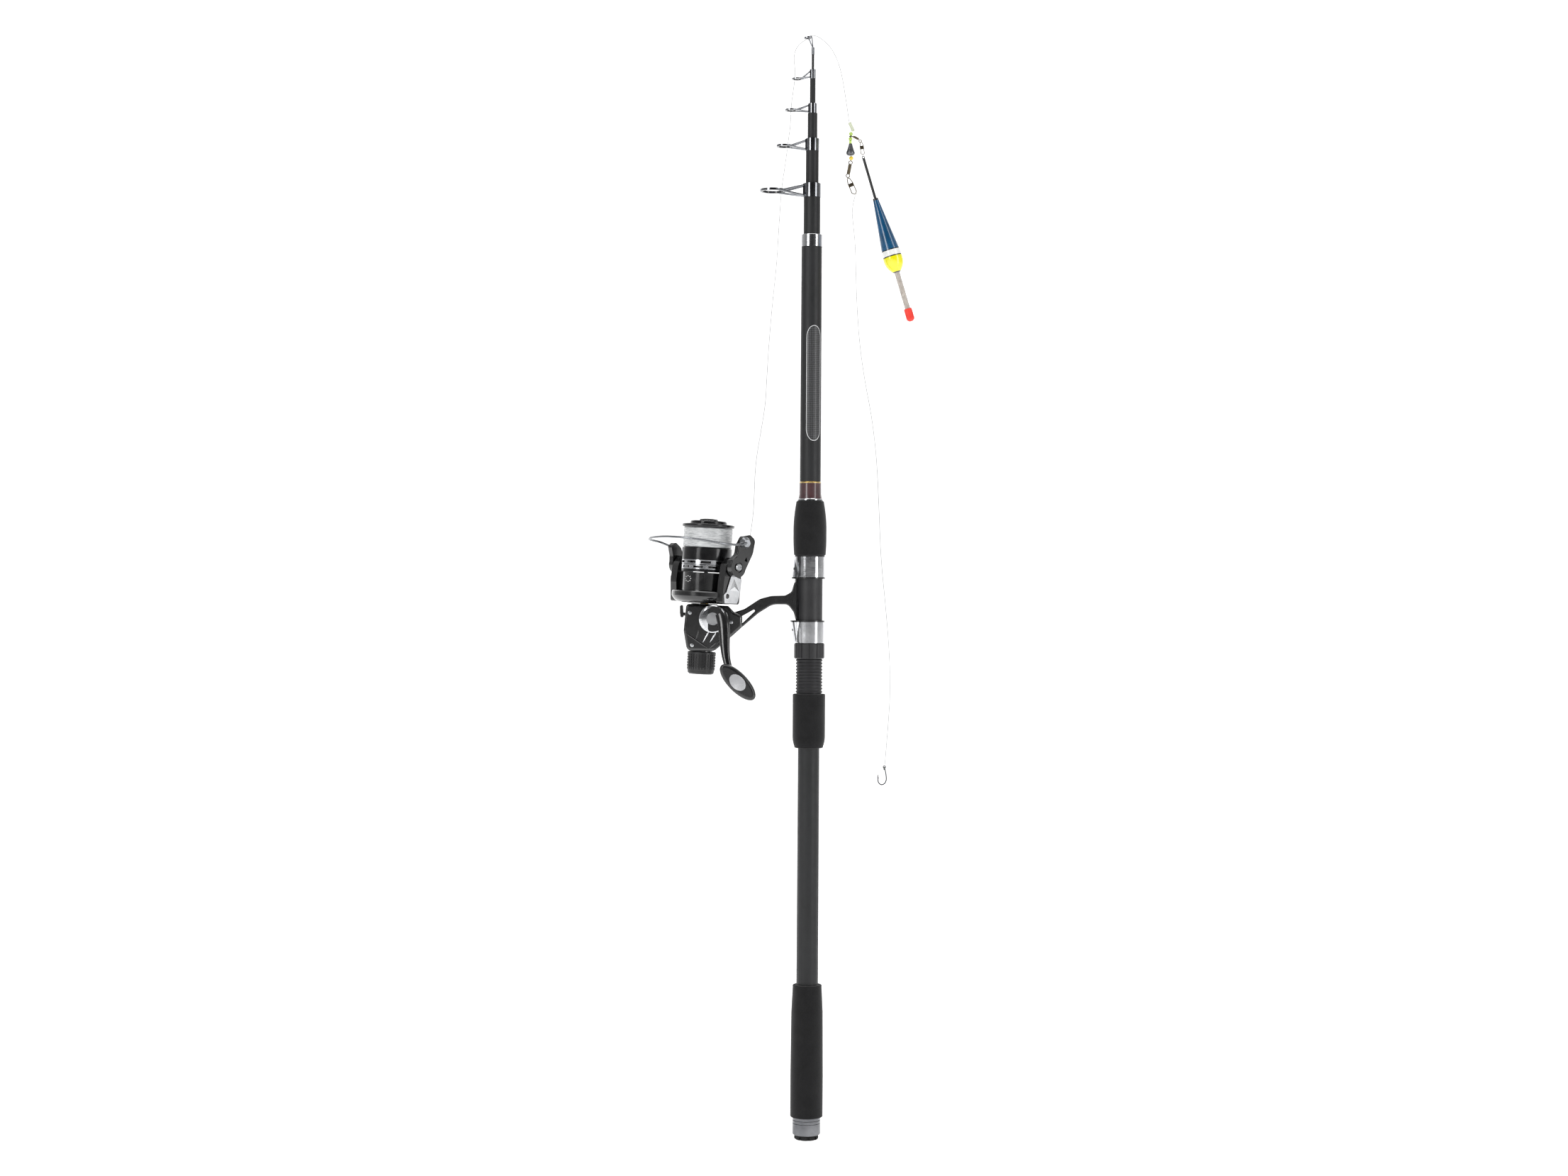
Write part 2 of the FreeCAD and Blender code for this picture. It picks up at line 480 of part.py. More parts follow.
def make_rotor():
    shell = lathe([
        (3.55, 513), (7.2, 513), (7.2, 516.4), (17.2, 516.4), (18.4, 509.3), (20.4, 509.3),
        (31.5, 515.6, 27.5, 510.6), (31.5, 519.4), (30.6, 520.3), (22.0, 521.2), (22.0, 538.0),
        (20.2, 538.0), (20.2, 520.0), (7.2, 520.0), (7.2, 524.0), (3.55, 524.0)])
    arms = [arm_plate(ROTOR_ARM, 28.6, 36.6), arm_plate([(-y, z, r) for y, z, r in ROTOR_ARM], -36.6, -28.6)]
    roots = [arm_plate([(-9, 509.6, 1), (-11.5, 520, 1), (11.5, 520, 1), (9, 509.6, 1)], low, high)
             for low, high in ((20.5, 29.5), (-29.5, -20.5))]
    keep = ring(36.6, 3.0, 500, 560)
    body = fused([shell] + arms + [part.common(keep) for part in roots])
    body = body.cut([Part.makeCylinder(2.5, 100, V(-50, 0, PIVOT_Z), X),
                     Part.makeCylinder(17.1, 7.0, V(0, 0, 509.4)).cut(Part.makeCylinder(7.2, 8, V(0, 0, 509)))])
    plate = arm_plate(ROTOR_PLATE, 36.6, 37.6)
    mirrored = arm_plate([(-y, z, r) for y, z, r in ROTOR_PLATE], -37.6, -36.6)
    save("rotor_plates", on_rotor(plate), on_rotor(mirrored))
    save("rotor", on_rotor(body))
    screws = []
    for side in (-1, 1):
        head = side * 43.6
        screw = fused([rod_between(V(side * 29.5, 0, PIVOT_Z), V(head, 0, PIVOT_Z), 2.45),
                       rod_between(V(head, 0, PIVOT_Z), V(side * 45.0, 0, PIVOT_Z), 3.5, 3.0)])
        slot = Part.makeBox(1.2, 5, 0.9, V(min(side * 44.2, side * 45.4), -2.5, PIVOT_Z - 0.45))
        screws.append(on_rotor(screw.cut(slot)))
    nut = hexagon(6.4, 2.8)
    nut.translate(V(0, 0, 524.05))
    nut = nut.cut(Part.makeCylinder(3.52, 10, V(0, 0, 520)))
    save("rotor_screws", on_rotor(nut), *screws)


def hexagon(radius, height):
    points = [V(radius * math.cos(math.radians(60 * i)), radius * math.sin(math.radians(60 * i)), 0)
              for i in range(7)]
    return Part.Face(Part.makePolygon(points)).extrude(V(0, 0, height))


def make_bail():
    plate = arm_plate(BAIL_ARM, 37.9, 43.2)
    edges = [edge for edge in plate.Edges if edge.BoundBox.XMin > 43.1]
    plate = plate.makeFillet(1.4, edges)
    boss = Part.makeCylinder(9.6, 5.6, V(37.9, 0, PIVOT_Z), X)
    arm = fused([plate, boss])
    axle = Part.makeCylinder(1.5, 6.6, V(31.4, *ROLLER_AT), X)
    cap = Part.makeCylinder(3.2, 1.0, V(30.6, *ROLLER_AT), X)
    arm = fused([arm, axle, cap]).cut([
        arm_plate(BAIL_WINDOW, 30, 50),
        Part.makeCylinder(2.55, 20, V(30, 0, PIVOT_Z), X),
        Part.makeCylinder(5.2, 2, V(42.6, 0, PIVOT_Z), X)])

    lever = arm_plate([(6.5, 539, 5), (8.0, 548, 6), (1.5, 561, 5), (-6.0, 566, 3), (-11.2, 562, 3),
                       (-8.5, 553, 8), (-8.0, 540, 5)], -43.0, -37.9)
    holder = fused([lever, Part.makeCylinder(8.6, 5.1, V(-43.0, 0, PIVOT_Z), X)])
    holder = holder.cut(Part.makeCylinder(2.55, 20, V(-50, 0, PIVOT_Z), X))

    points = [V(*p) for p in BAIL_ROUTE]
    bends = [0] + [largest_bend(points, i) for i in range(1, len(points) - 1)] + [0]
    wire = wire_tube(points, 1.05, bends)
    cone = rod_between(V(43.8, 6.5, 568.0), V(48.2, 5.0, 567.4), 5.6, 3.4)
    ferrule = rod_between(V(46.4, 0.2, 566.9), V(45.8, 5.2, 567.8), 1.7, 2.6)
    save("bail_wire", on_rotor(fused([wire, cone, ferrule]).cut([arm, holder])))
    save("bail_arm", on_rotor(arm))
    save("bail_holder", on_rotor(holder))

    roller = lathe([(1.56, 0), (3.9, 0), (3.1, 1.6, 3.3, 0.7), (3.1, 3.0), (3.9, 4.6, 3.3, 3.9), (1.56, 4.6)])
    roller.rotate(ORIGIN, Y, 90)
    roller.translate(V(32.4, *ROLLER_AT))
    save("line_roller", on_rotor(roller))


def largest_bend(points, i):
    """The largest bend radius that two runs allow: 0.45 of the shorter, over the tangent of half the turn."""
    back, ahead = points[i] - points[i - 1], points[i + 1] - points[i]
    return 0.45 * min(back.Length, ahead.Length) / math.tan(back.getAngle(ahead) / 2)


# ---------------------------------------------------------------- spool and drag
def make_spool():
    spool = lathe([
        (SHAFT_R + 0.02, 550), (5, 550), (5, 576), (14.5, 576), (14.5, 559.6),
        (CLICKER_BORE, 559.6), (CLICKER_BORE, 540.5), (CLICKER_R, 540.5), (CLICKER_R, 559.6),
        (SKIRT_BORE, 559.6), (SKIRT_BORE, 538.8), (SKIRT_R, 538.8), (SKIRT_R, 561.0),
        (23.4, 561.7), (16, 561.7), (16, 581.2),
        (22.6, 581.0), (25.0, 582.6, 24.6, 581.4), (23.8, 584.2, 24.8, 583.7), (17.4, 584.9),
        (16.6, 587.3, 17.3, 586.4), (8.8, 587.9), (8.8, 583), (SHAFT_R + 0.02, 583)])
    slots = []
    for i in range(10):
        for z, shift in ((543.3, 0), (547.8, 18)):
            slot = Part.makeBox(8, 9.6, 2.0, V(21, -4.8, z - 1.0))
            slot.rotate(ORIGIN, Z, 36 * i + shift)
            slots.append(slot)
    save("spool", leant(spool.cut(slots)))
    save("line_pack", leant(lathe([
        (16, 561.8), (22.9, 561.8), (23.3, 563.0, 23.2, 562.2), (23.3, 579.6, 23.6, 571),
        (22.8, 580.9, 23.2, 580.6), (16, 580.9)])))
    save("spool_button", leant(lathe([
        (0, 585.2), (8.6, 585.2), (8.6, 588.2), (7.6, 589.0, 8.4, 588.8), (4.0, 589.5), (0, 589.6)])))


def make_drag_knob():
    knob = lathe([
        (0, 441.6), (9.5, 441.6), (12.6, 444.2, 11.9, 442.3), (13.5, 448.0), (13.5, 461.6),
        (12.6, 463.0, 13.3, 462.6), (10.3, 463.0), (10.3, 451.6), (8.0, 451.6), (8.0, 444.2), (0, 444.2)])
    knob = notched(knob, 13.5, 0.6, 30, 446.0, 460.6, 0.9)
    knob = knob.cut([ring(15, 12.9, z, z + 0.8) for z in (448.0, 450.6, 453.2, 455.8, 458.4)])
    save("drag_knob", leant(knob))


def make_anti_reverse():
    paddle = slab([(-123.2, 506.6, 1), (-120.6, 507.6, 1), (-119.9, 499, 1), (-119.9, 495.6, 1),
                   (-122.6, 495.6, 1), (-123.2, 500, 1)], -4.0, 4.0)
    pin = Part.makeCylinder(LEVER_PIN_R, 5.0, V(LEVER_X, 0, LEVER_Z), X)
    save("anti_reverse_lever", fused([paddle, pin]))


# ---------------------------------------------------------------- crank
def make_crank():
    hub = lathe([(4.3, -27.6), (11.8, -27.6), (13.0, -28.6), (13.0, -30.4), (12.2, -31.2), (12.0, -32.2),
                 (10.6, -33.0), (6.0, -33.4), (4.3, -33.4)])
    nose = lathe([(0, -33.4), (4.0, -33.4), (4.0, -27.25), (0, -27.25)])
    save("crank_hub", along_y(fused([hub, nose, ring(4.4, 3.9, -33.4, -28.2)]), CRANK_X, CRANK_Z))

    foot, knee, tip = V(-83.5, -34.4, 499.0), V(-79.0, -46.0, 468.0), V(KNOB_X, -52.6, KNOB_Z)
    shin = V(-75.6, -50.0, 450.0)
    stations = ((foot, 5.6, 3.4), (knee, 4.6, 2.7), (shin, 3.5, 2.4), (tip, 3.7, 2.4))
    wires = []
    for centre, half_wide, half_thick in stations:
        wires.append(arm_section(centre, half_wide, half_thick))
    arm = Part.makeLoft(wires, True, False)
    knuckle = along_y(ring(11.9, 6.05, -36.6, -33.5), CRANK_X, CRANK_Z)
    keep = slab([(-95.5, 482.5, 3), (-95.5, 506.5, 6), (-78.5, 506.5, 6), (-78.5, 482.5, 3)], -37, -30)
    pad = along_y(Part.makeCylinder(4.6, 4.4, V(0, 0, -54.8)), KNOB_X, KNOB_Z)
    axle = along_y(Part.makeCylinder(2.0, 17.0, V(0, 0, -71.0)), KNOB_X, KNOB_Z)
    clear = along_y(Part.makeCylinder(14, 8, V(0, 0, -33.45)), CRANK_X, CRANK_Z)
    save("crank_arm", fused([arm.cut(clear), knuckle.common(keep), pad, axle]))


def arm_section(centre, half_wide, half_thick):
    """Rounded cross-section of the crank arm, square to its run down and outwards."""
    across = V(0.94, 0, 0.30)
    through = V(-0.10, -0.94, 0.32)
    points = []
    for turn in range(12):
        angle = math.radians(30 * turn)
        points.append(centre + across * (half_wide * math.cos(angle)) + through * (half_thick * math.sin(angle)))
    curve = Part.BSplineCurve()
    curve.interpolate(points, PeriodicFlag=True)
    return Part.Wire([curve.toShape()])


def oval(half_long, half_wide, low, high):
    """Oval slab about Z with its long side on X."""
    face = Part.Face(Part.Wire([Part.Ellipse(ORIGIN, half_long, half_wide).toShape()]))
    face.translate(V(0, 0, low))
    return face.extrude(V(0, 0, high - low))


def make_knob():
    grip = oval(21.8, 8.9, -73.6, -56.2)
    rims = [edge for edge in grip.Edges if edge.Closed]
    grip = grip.makeFillet(3.0, rims)
    grip = fused([grip, Part.makeCylinder(4.4, 2.6, V(0, 0, -57.6))])
    grip = grip.cut([Part.makeCylinder(2.05, 16.2, V(0, 0, -71.2)), oval(9.0, 6.3, -75, -72.8)])
    plate = oval(8.8, 6.1, -74.0, -72.85)
    for part in (grip, plate):
        part.rotate(ORIGIN, Z, 45)
        along_y(part, KNOB_X, KNOB_Z)
    save("crank_knob", grip, plate)


# ---------------------------------------------------------------- line
# Each stretch starts just below the ring that it runs through, so it stays in that ring as the rod extends.
LINE_ROUTES = {
    "line_reel_to_guide_1": [(-57.2, -8.3, 571.2), (-54.2, -7.8, 589), (-53.2, -7.2, 612), (-52.3, -6.4, 642),
                             (-47.0, -5.4, 674), (-43.0, -4.6, 699), (-42.0, -3.8, 724), (-40.2, -3.0, 756),
                             (-37.2, -2.2, 794), (-33.2, -1.4, 832), (-31.6, -0.7, 866), (-29.5, 0, 898.4)],
    "line_guide_1_to_2": [(-29.4, 0, 899.2), (-28.4, 0.1, 910), (-26.6, 0.1, 921), (-25.2, 0, 931.5),
                          (-23.9, 0, 941.6)],
    "line_guide_2_to_3": [(-23.8, 0, 942.4), (-22.8, 0.1, 952.0), (-21.0, 0.1, 963.5), (-20.7, 0, 974.8)],
    "line_guide_3_to_4": [(-20.7, 0, 975.6), (-20.3, 0.1, 985.5), (-18.6, 0, 996.5), (-17.4, 0, 1006.6)],
    "line_guide_4_to_tip": [(-17.3, 0, 1007.3), (-16.7, 0, 1015.0), (-17.6, 0.1, 1022.5), (-18.2, 0, 1030.0),
                            (-16.2, 0, 1037.6), (-11.8, 0, 1043.2), (-6.8, 0, 1046.1)],
    "hanging_line": [(-6.3, 0, 1046.6), (-4.6, 0, 1048.9), (-1.8, 0, 1050.2), (3.4, 0, 1049.8),
                     (9.0, 0, 1046.4), (15.6, 0, 1040.4), (21.0, 0, 1032.2), (25.2, 0, 1021.6),
                     (28.3, 0, 1009.4), (31.0, 0, 993.0), (33.2, 0, 979.4), (34.7, 0, 968.2)],
    "leader": [(41.0, 0, 898.2), (39.2, 0, 891.0), (38.0, 0, 882.0), (39.6, 0, 868.4), (41.5, 0, 849.5),
               (42.2, 0, 824.0), (43.3, 0, 793.0), (46.0, 0, 757.0), (51.3, 0, 721.0), (57.9, 0, 689.0),
               (62.9, 0, 650.0), (65.3, 0, 606.0), (67.6, 0, 552.0), (72.3, 0, 509.0), (76.1, 0, 466.0),
               (77.6, 0, 428.0), (75.4, 0, 391.0), (72.6, 0, 356.3)],
}


def make_lines():
    for name, route in LINE_ROUTES.items():
        points = [V(*p) for p in route]
        bends = [0] + [largest_bend(points, i) for i in range(1, len(points) - 1)] + [0]
        tube = wire_tube(points, LINE_D / 2, bends)
        length = rounded_path(points, bends, False).Length
        expected = math.pi * LINE_D ** 2 / 4 * length
        print("%s: %.1f mm long, smallest radius %.0f mm, volume %.4f of section times length"
              % (name, length, min(bends[1:-1]), tube.Volume / expected))
        save(name, tube)


# ---------------------------------------------------------------- rig
def swivel(top, bottom, barrel_r, eye_r, wire_r):
    """Barrel swivel: a turned barrel between two wire eyes, from the top of one to the foot of the other."""
    along = (bottom - top).normalize()
    middle = (top + bottom) * 0.5
    half = (bottom - top).Length / 2 - 2 * eye_r
    barrel = rod_between(middle - along * half, middle + along * half, barrel_r)
    eyes = [eye(top + along * eye_r, Y, eye_r, wire_r), eye(bottom - along * eye_r, Y, eye_r, wire_r)]
    ends = [rod_between(middle - along * (half + 0.7), middle - along * half, barrel_r * 0.5, barrel_r),
            rod_between(middle + along * half, middle + along * (half + 0.7), barrel_r, barrel_r * 0.5)]
    return fused([barrel] + eyes + ends)


def snap(top, bottom, half_wide, wire_r):
    """Bent-wire snap: a long closed loop with a pressed plate round its middle."""
    along = (bottom - top).normalize()
    across = V(along.z, 0, -along.x)
    points = [top + along * half_wide * 0.3 - across * half_wide * 0.5,
              top + across * half_wide * 0.5,
              top + along * (bottom - top).Length * 0.3 + across * half_wide,
              bottom - along * half_wide + across * half_wide,
              bottom - across * 0.2,
              bottom - along * half_wide - across * half_wide,
              top + along * (bottom - top).Length * 0.3 - across * half_wide]
    path = rounded_path(points, [half_wide * 0.35] * len(points), True)
    start = path.Edges[0]
    section = Part.Wire([Part.Circle(start.valueAt(start.FirstParameter),
                                     start.tangentAt(start.FirstParameter), wire_r).toShape()])
    loop = path.makePipeShell([section], True, False)
    plate_at = top + along * (bottom - top).Length * 0.42
    plate = rod_between(plate_at - along * 1.6, plate_at + along * 1.6, half_wide * 1.12)
    flat = Part.makeBox(60, wire_r * 3.6, 60, plate_at - V(30, wire_r * 1.8, 30))
    return fused([loop, plate.common(flat)])


def bead(x, z, radius, bore=0.4):
    ball = Part.makeSphere(radius, V(x, 0, z))
    return ball.cut(Part.makeCylinder(bore, 4 * radius, V(x, 0, z - 2 * radius)))


def make_rig():
    stop = rod_between(V(35.2, 0, 967.4), V(38.9, 0, 959.2), 1.55)
    beads = [stop, bead(36.6, 956.6, 1.85), bead(36.2, 951.9, 1.85),
             Part.makeCylinder(1.3, 2.6, V(36.1, 0, 947.4)), bead(37.0, 933.6, 2.0)]
    save("rig_beads", *beads)
    weight = lathe([(0.5, 947.3), (1.5, 947.3), (3.8, 939.6, 2.3, 944.2), (1.6, 936.2, 3.4, 936.8), (0.5, 936.2)])
    weight.translate(V(36.3, 0, 0))
    save("sinker", weight)
    side_swivel = fused([eye(V(36.4, 0, 954.25), Z, 1.7, 0.35),
                         rod_between(V(37.9, 0, 954.2), V(39.4, 0, 954.0), 0.35, 1.1),
                         rod_between(V(39.4, 0, 954.0), V(43.4, 0, 951.9), 1.1),
                         rod_between(V(43.4, 0, 951.9), V(44.4, 0, 951.2), 1.1, 0.35),
                         eye(V(45.5, 0, 949.9), Y, 1.6, 0.35)])
    side_snap = snap(V(46.3, 0, 949.0), V(48.2, 0, 936.6), 1.6, 0.3)
    link = swivel(V(36.8, 0, 931.4), V(33.6, 0, 914.8), 1.65, 2.1, 0.4)
    end_snap = snap(V(34.2, 0, 914.6), V(41.0, 0, 899.0), 2.3, 0.4)
    save("rig_swivels", fused([side_swivel, side_snap]), fused([link, end_snap]))

    # The float is drawn along Z from its lower eye and then leant out from the line.
    body = lathe([(0, -41.4), (2.5, -41.4), (8.75, -92.4, 5.2, -64), (9.15, -99.0, 9.2, -95.6),
                  (3.1, -114.8, 7.6, -109), (0, -114.8)])
    stem = fused([lathe([(0, -1.6), (1.3, -1.6), (1.3, -41.4), (0, -41.4)]), eye(V(0, 0, -0.6), Y, 1.5, 0.35)])
    antenna = lathe([(0, -114.8), (2.5, -114.8), (2.5, -150.2), (3.8, -151.2), (3.85, -159.2),
                     (0.8, -163.2, 2.9, -162.2), (0, -163.3)])
    parts = {"float_body": [body], "float_stem": [stem, antenna]}
    for name, solids in parts.items():
        for solid in solids:
            solid.rotate(ORIGIN, Y, -FLOAT_LEAN)
            solid.translate(V(FLOAT_X, 0, FLOAT_Z))
        save(name, *solids)

    points = [V(72.6, 0, 353.0), V(73.9, 0, 347.0), V(74.2, 0, 341.6), V(72.6, 0, 338.2),
              V(69.0, 0, 337.0), V(66.3, 0, 339.6), V(66.0, 0, 345.2)]
    bends = [0] + [largest_bend(points, i) for i in range(1, len(points) - 1)] + [0]
    shank = wire_tube(points, HOOK_WIRE_R, bends)
    point = rod_between(points[-1], V(66.6, 0, 347.6), HOOK_WIRE_R, 0.08)
    barb = rod_between(V(66.1, 0, 344.6), V(67.3, 0, 343.2), 0.35, 0.08)
    save("hook", fused([shank, point, barb, eye(V(72.2, 0, 354.2), Y, 1.5, 0.4)]))


def main():
    make_handle()
    make_sections()
    make_guides()
    make_tip_top()
    make_seat()
    make_housing()
    make_side_cover()
    make_gear_train()
    make_rotor()
    make_bail()
    make_spool()
    make_drag_knob()
    make_anti_reverse()
    make_crank()
    make_knob()
    make_lines()
    make_rig()


main()
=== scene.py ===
import math

import bmesh
import bpy
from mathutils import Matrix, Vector
from mathutils.bvhtree import BVHTree
import numpy as np


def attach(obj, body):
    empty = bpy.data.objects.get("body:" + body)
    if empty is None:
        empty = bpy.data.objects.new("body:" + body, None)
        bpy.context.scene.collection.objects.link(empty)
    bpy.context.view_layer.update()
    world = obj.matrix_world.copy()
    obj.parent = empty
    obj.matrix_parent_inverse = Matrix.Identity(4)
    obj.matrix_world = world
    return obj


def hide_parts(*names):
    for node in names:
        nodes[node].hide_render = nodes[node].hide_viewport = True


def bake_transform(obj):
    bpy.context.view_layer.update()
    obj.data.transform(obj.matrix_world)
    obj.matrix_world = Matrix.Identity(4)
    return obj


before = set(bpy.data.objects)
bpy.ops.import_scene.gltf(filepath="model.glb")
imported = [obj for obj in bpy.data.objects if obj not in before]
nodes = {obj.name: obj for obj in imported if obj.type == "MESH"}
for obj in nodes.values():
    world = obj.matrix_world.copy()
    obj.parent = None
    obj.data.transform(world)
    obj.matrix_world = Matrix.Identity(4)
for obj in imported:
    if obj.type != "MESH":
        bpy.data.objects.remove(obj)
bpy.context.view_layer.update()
scene = bpy.context.scene
MM = 0.001

# ---- where things are, in millimetres, as the CAD model has them ----
SPOOL_LEAN = math.radians(2.74)
LEAN_AT = Vector((-99.56, 0, 520.0))
SPOOL_AXIS = Vector((math.sin(SPOOL_LEAN), 0, math.cos(SPOOL_LEAN)))
FLOAT_LEAN = math.radians(16.7)
FLOAT_AT = Vector((48.3, 0, 935.0))
FLOAT_AXIS = Vector((-math.sin(FLOAT_LEAN), 0, math.cos(FLOAT_LEAN)))
GUIDE_RINGS = {"guide_1": (-37.4, 12.3, 0.95), "guide_2": (-26.6, 7.6, 0.75),
               "guide_3": (-20.2, 6.0, 0.60), "guide_4": (-14.9, 5.0, 0.50)}
KNOB_AT = (-66.7, 436.6)
CRANK_AT = (-91.1, 494.5)
BLANK_R, BLANK_SPAN = (10.45, 9.7), (10, 858)      # radius at each end of the handle blank
LABEL_TURN = math.radians(17.4)                    # how far the label faces round towards +X
WINDING_PITCH, GOLD_BAND = 0.32, (623.9, 625.2)
BRIGHT_BANDS = ((545.75, 549.9), (541.2, 545.2))   # along the spool's axis
FLOAT_WAIST, FLOAT_BELLY_TOP = (-98.6, -92.4), -98.6
FLOAT_RINGS = ((-93.1, -92.2), (-99.4, -98.4), (-115.5, -113.9), (-43.4, -41.0))
WOUND_SPAN, WOUND_R, CORE_R, TURN = (562.0, 580.7), 23.3, 16.2, 0.8
LINE_D = 0.4
LINE_ROUTES = {
    "line_reel_to_guide_1": [
        (-57.2, -8.3, 571.2), (-54.2, -7.8, 589), (-53.2, -7.2, 612), (-52.3, -6.4, 642),
        (-47.0, -5.4, 674), (-43.0, -4.6, 699), (-42.0, -3.8, 724), (-40.2, -3.0, 756),
        (-37.2, -2.2, 794), (-33.2, -1.4, 832), (-31.6, -0.7, 866), (-29.5, 0, 898.4)],
    "line_guide_1_to_2": [
        (-29.4, 0, 899.2), (-28.4, 0.1, 910), (-26.6, 0.1, 921), (-25.2, 0, 931.5), (-23.9, 0, 941.6)],
    "line_guide_2_to_3": [(-23.8, 0, 942.4), (-22.8, 0.1, 952), (-21.0, 0.1, 963.5), (-20.7, 0, 974.8)],
    "line_guide_3_to_4": [(-20.7, 0, 975.6), (-20.3, 0.1, 985.5), (-18.6, 0, 996.5), (-17.4, 0, 1006.6)],
    "line_guide_4_to_tip": [
        (-17.3, 0, 1007.3), (-16.7, 0, 1015), (-17.6, 0.1, 1022.5), (-18.2, 0, 1030),
        (-16.2, 0, 1037.6), (-11.8, 0, 1043.2), (-6.8, 0, 1046.1)],
    "hanging_line": [
        (-6.3, 0, 1046.6), (-4.6, 0, 1048.9), (-1.8, 0, 1050.2), (3.4, 0, 1049.8), (9.0, 0, 1046.4),
        (15.6, 0, 1040.4), (21.0, 0, 1032.2), (25.2, 0, 1021.6), (28.3, 0, 1009.4), (31.0, 0, 993.0),
        (33.2, 0, 979.4), (34.7, 0, 968.2)],
    "leader": [
        (41.0, 0, 898.2), (39.2, 0, 891), (38.0, 0, 882), (39.6, 0, 868.4), (41.5, 0, 849.5),
        (42.2, 0, 824), (43.3, 0, 793), (46.0, 0, 757), (51.3, 0, 721), (57.9, 0, 689),
        (62.9, 0, 650), (65.3, 0, 606), (67.6, 0, 552), (72.3, 0, 509), (76.1, 0, 466),
        (77.6, 0, 428), (75.4, 0, 391), (72.6, 0, 356.3)],
}


# ------------------------------------------------------------------ camera
def make_camera():
    data = bpy.data.cameras.new("camera")
    camera = bpy.data.objects.new("camera", data)
    scene.collection.objects.link(camera)
    data.sensor_width, data.lens = 36, 56.0
    camera.location = (-0.0244, -2.322, 0.524)
    camera.rotation_euler = (math.radians(90), math.radians(-0.36), 0)
    scene.camera = camera


# ------------------------------------------------------------------ cords
def route_curve(name, bevel):
    """The route's smooth line, a NURBS spline through its points, as a curve object."""
    data = bpy.data.curves.new(name, "CURVE")
    data.dimensions = "3D"
    data.resolution_u, data.bevel_depth, data.bevel_resolution = 10, bevel, 3
    data.use_fill_caps = True
    spline = data.splines.new("NURBS")
    route = LINE_ROUTES[name]
    spline.points.add(len(route) - 1)
    for point, at in zip(spline.points, route):
        point.co = (*(Vector(at) * MM), 1)
    spline.order_u, spline.use_endpoint_u = 3, True
    obj = bpy.data.objects.new(name, data)
    scene.collection.objects.link(obj)
    return obj


def curve_mesh(name, bevel):
    """The route's NURBS curve as a mesh, a line of points where it has no bevel."""
    obj = route_curve(name, bevel)
    bpy.context.view_layer.update()
    graph = bpy.context.evaluated_depsgraph_get()
    made = bpy.data.meshes.new_from_object(obj.evaluated_get(graph))
    data = obj.data
    bpy.data.objects.remove(obj)
    bpy.data.curves.remove(data)
    return made


def make_cords(line):
    """Every stretch of line, as a tube along its route. Those along the rod stay where they are built; the
    hanging line and the leader ride on the tip section.
    """
    stretches = [
        ("line_reel_to_guide_1", "root", "section_2"), ("line_guide_1_to_2", "section_2", "section_3"),
        ("line_guide_2_to_3", "section_3", "section_4"), ("line_guide_3_to_4", "section_4", "section_5"),
        ("line_guide_4_to_tip", "section_5", "section_6")]
    for name, near, far in stretches:
        path = [v.co.copy() for v in curve_mesh(name, 0).vertices]
        tube = curve_mesh(name, LINE_D / 2 * MM)
        tube.materials.clear()
        tube.materials.append(line)
        obj = bpy.data.objects.new(name + "_line", tube)
        scene.collection.objects.link(obj)
        smooth(obj)
        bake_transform(obj)
        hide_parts(name)
    for name, far_end, on_it in [
            ("hanging_line", "fitting", ["rig_beads", "sinker", "rig_swivels", "float_body", "float_stem"]),
            ("leader", "tool", ["hook"])]:
        path = [v.co.copy() for v in curve_mesh(name, 0).vertices]
        obj = route_curve(name, LINE_D / 2 * MM)
        obj.name = name + "_line"
        obj.data.materials.append(line)
        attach(obj, "section_6")
        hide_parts(name)


# ------------------------------------------------------------------ materials
def tint(code):
    """A display colour such as '3f2629' as linear light."""
    parts = [int(code[i:i + 2], 16) / 255 for i in (0, 2, 4)]
    return (*[c / 12.92 if c <= 0.04045 else ((c + 0.055) / 1.055) ** 2.4 for c in parts], 1)


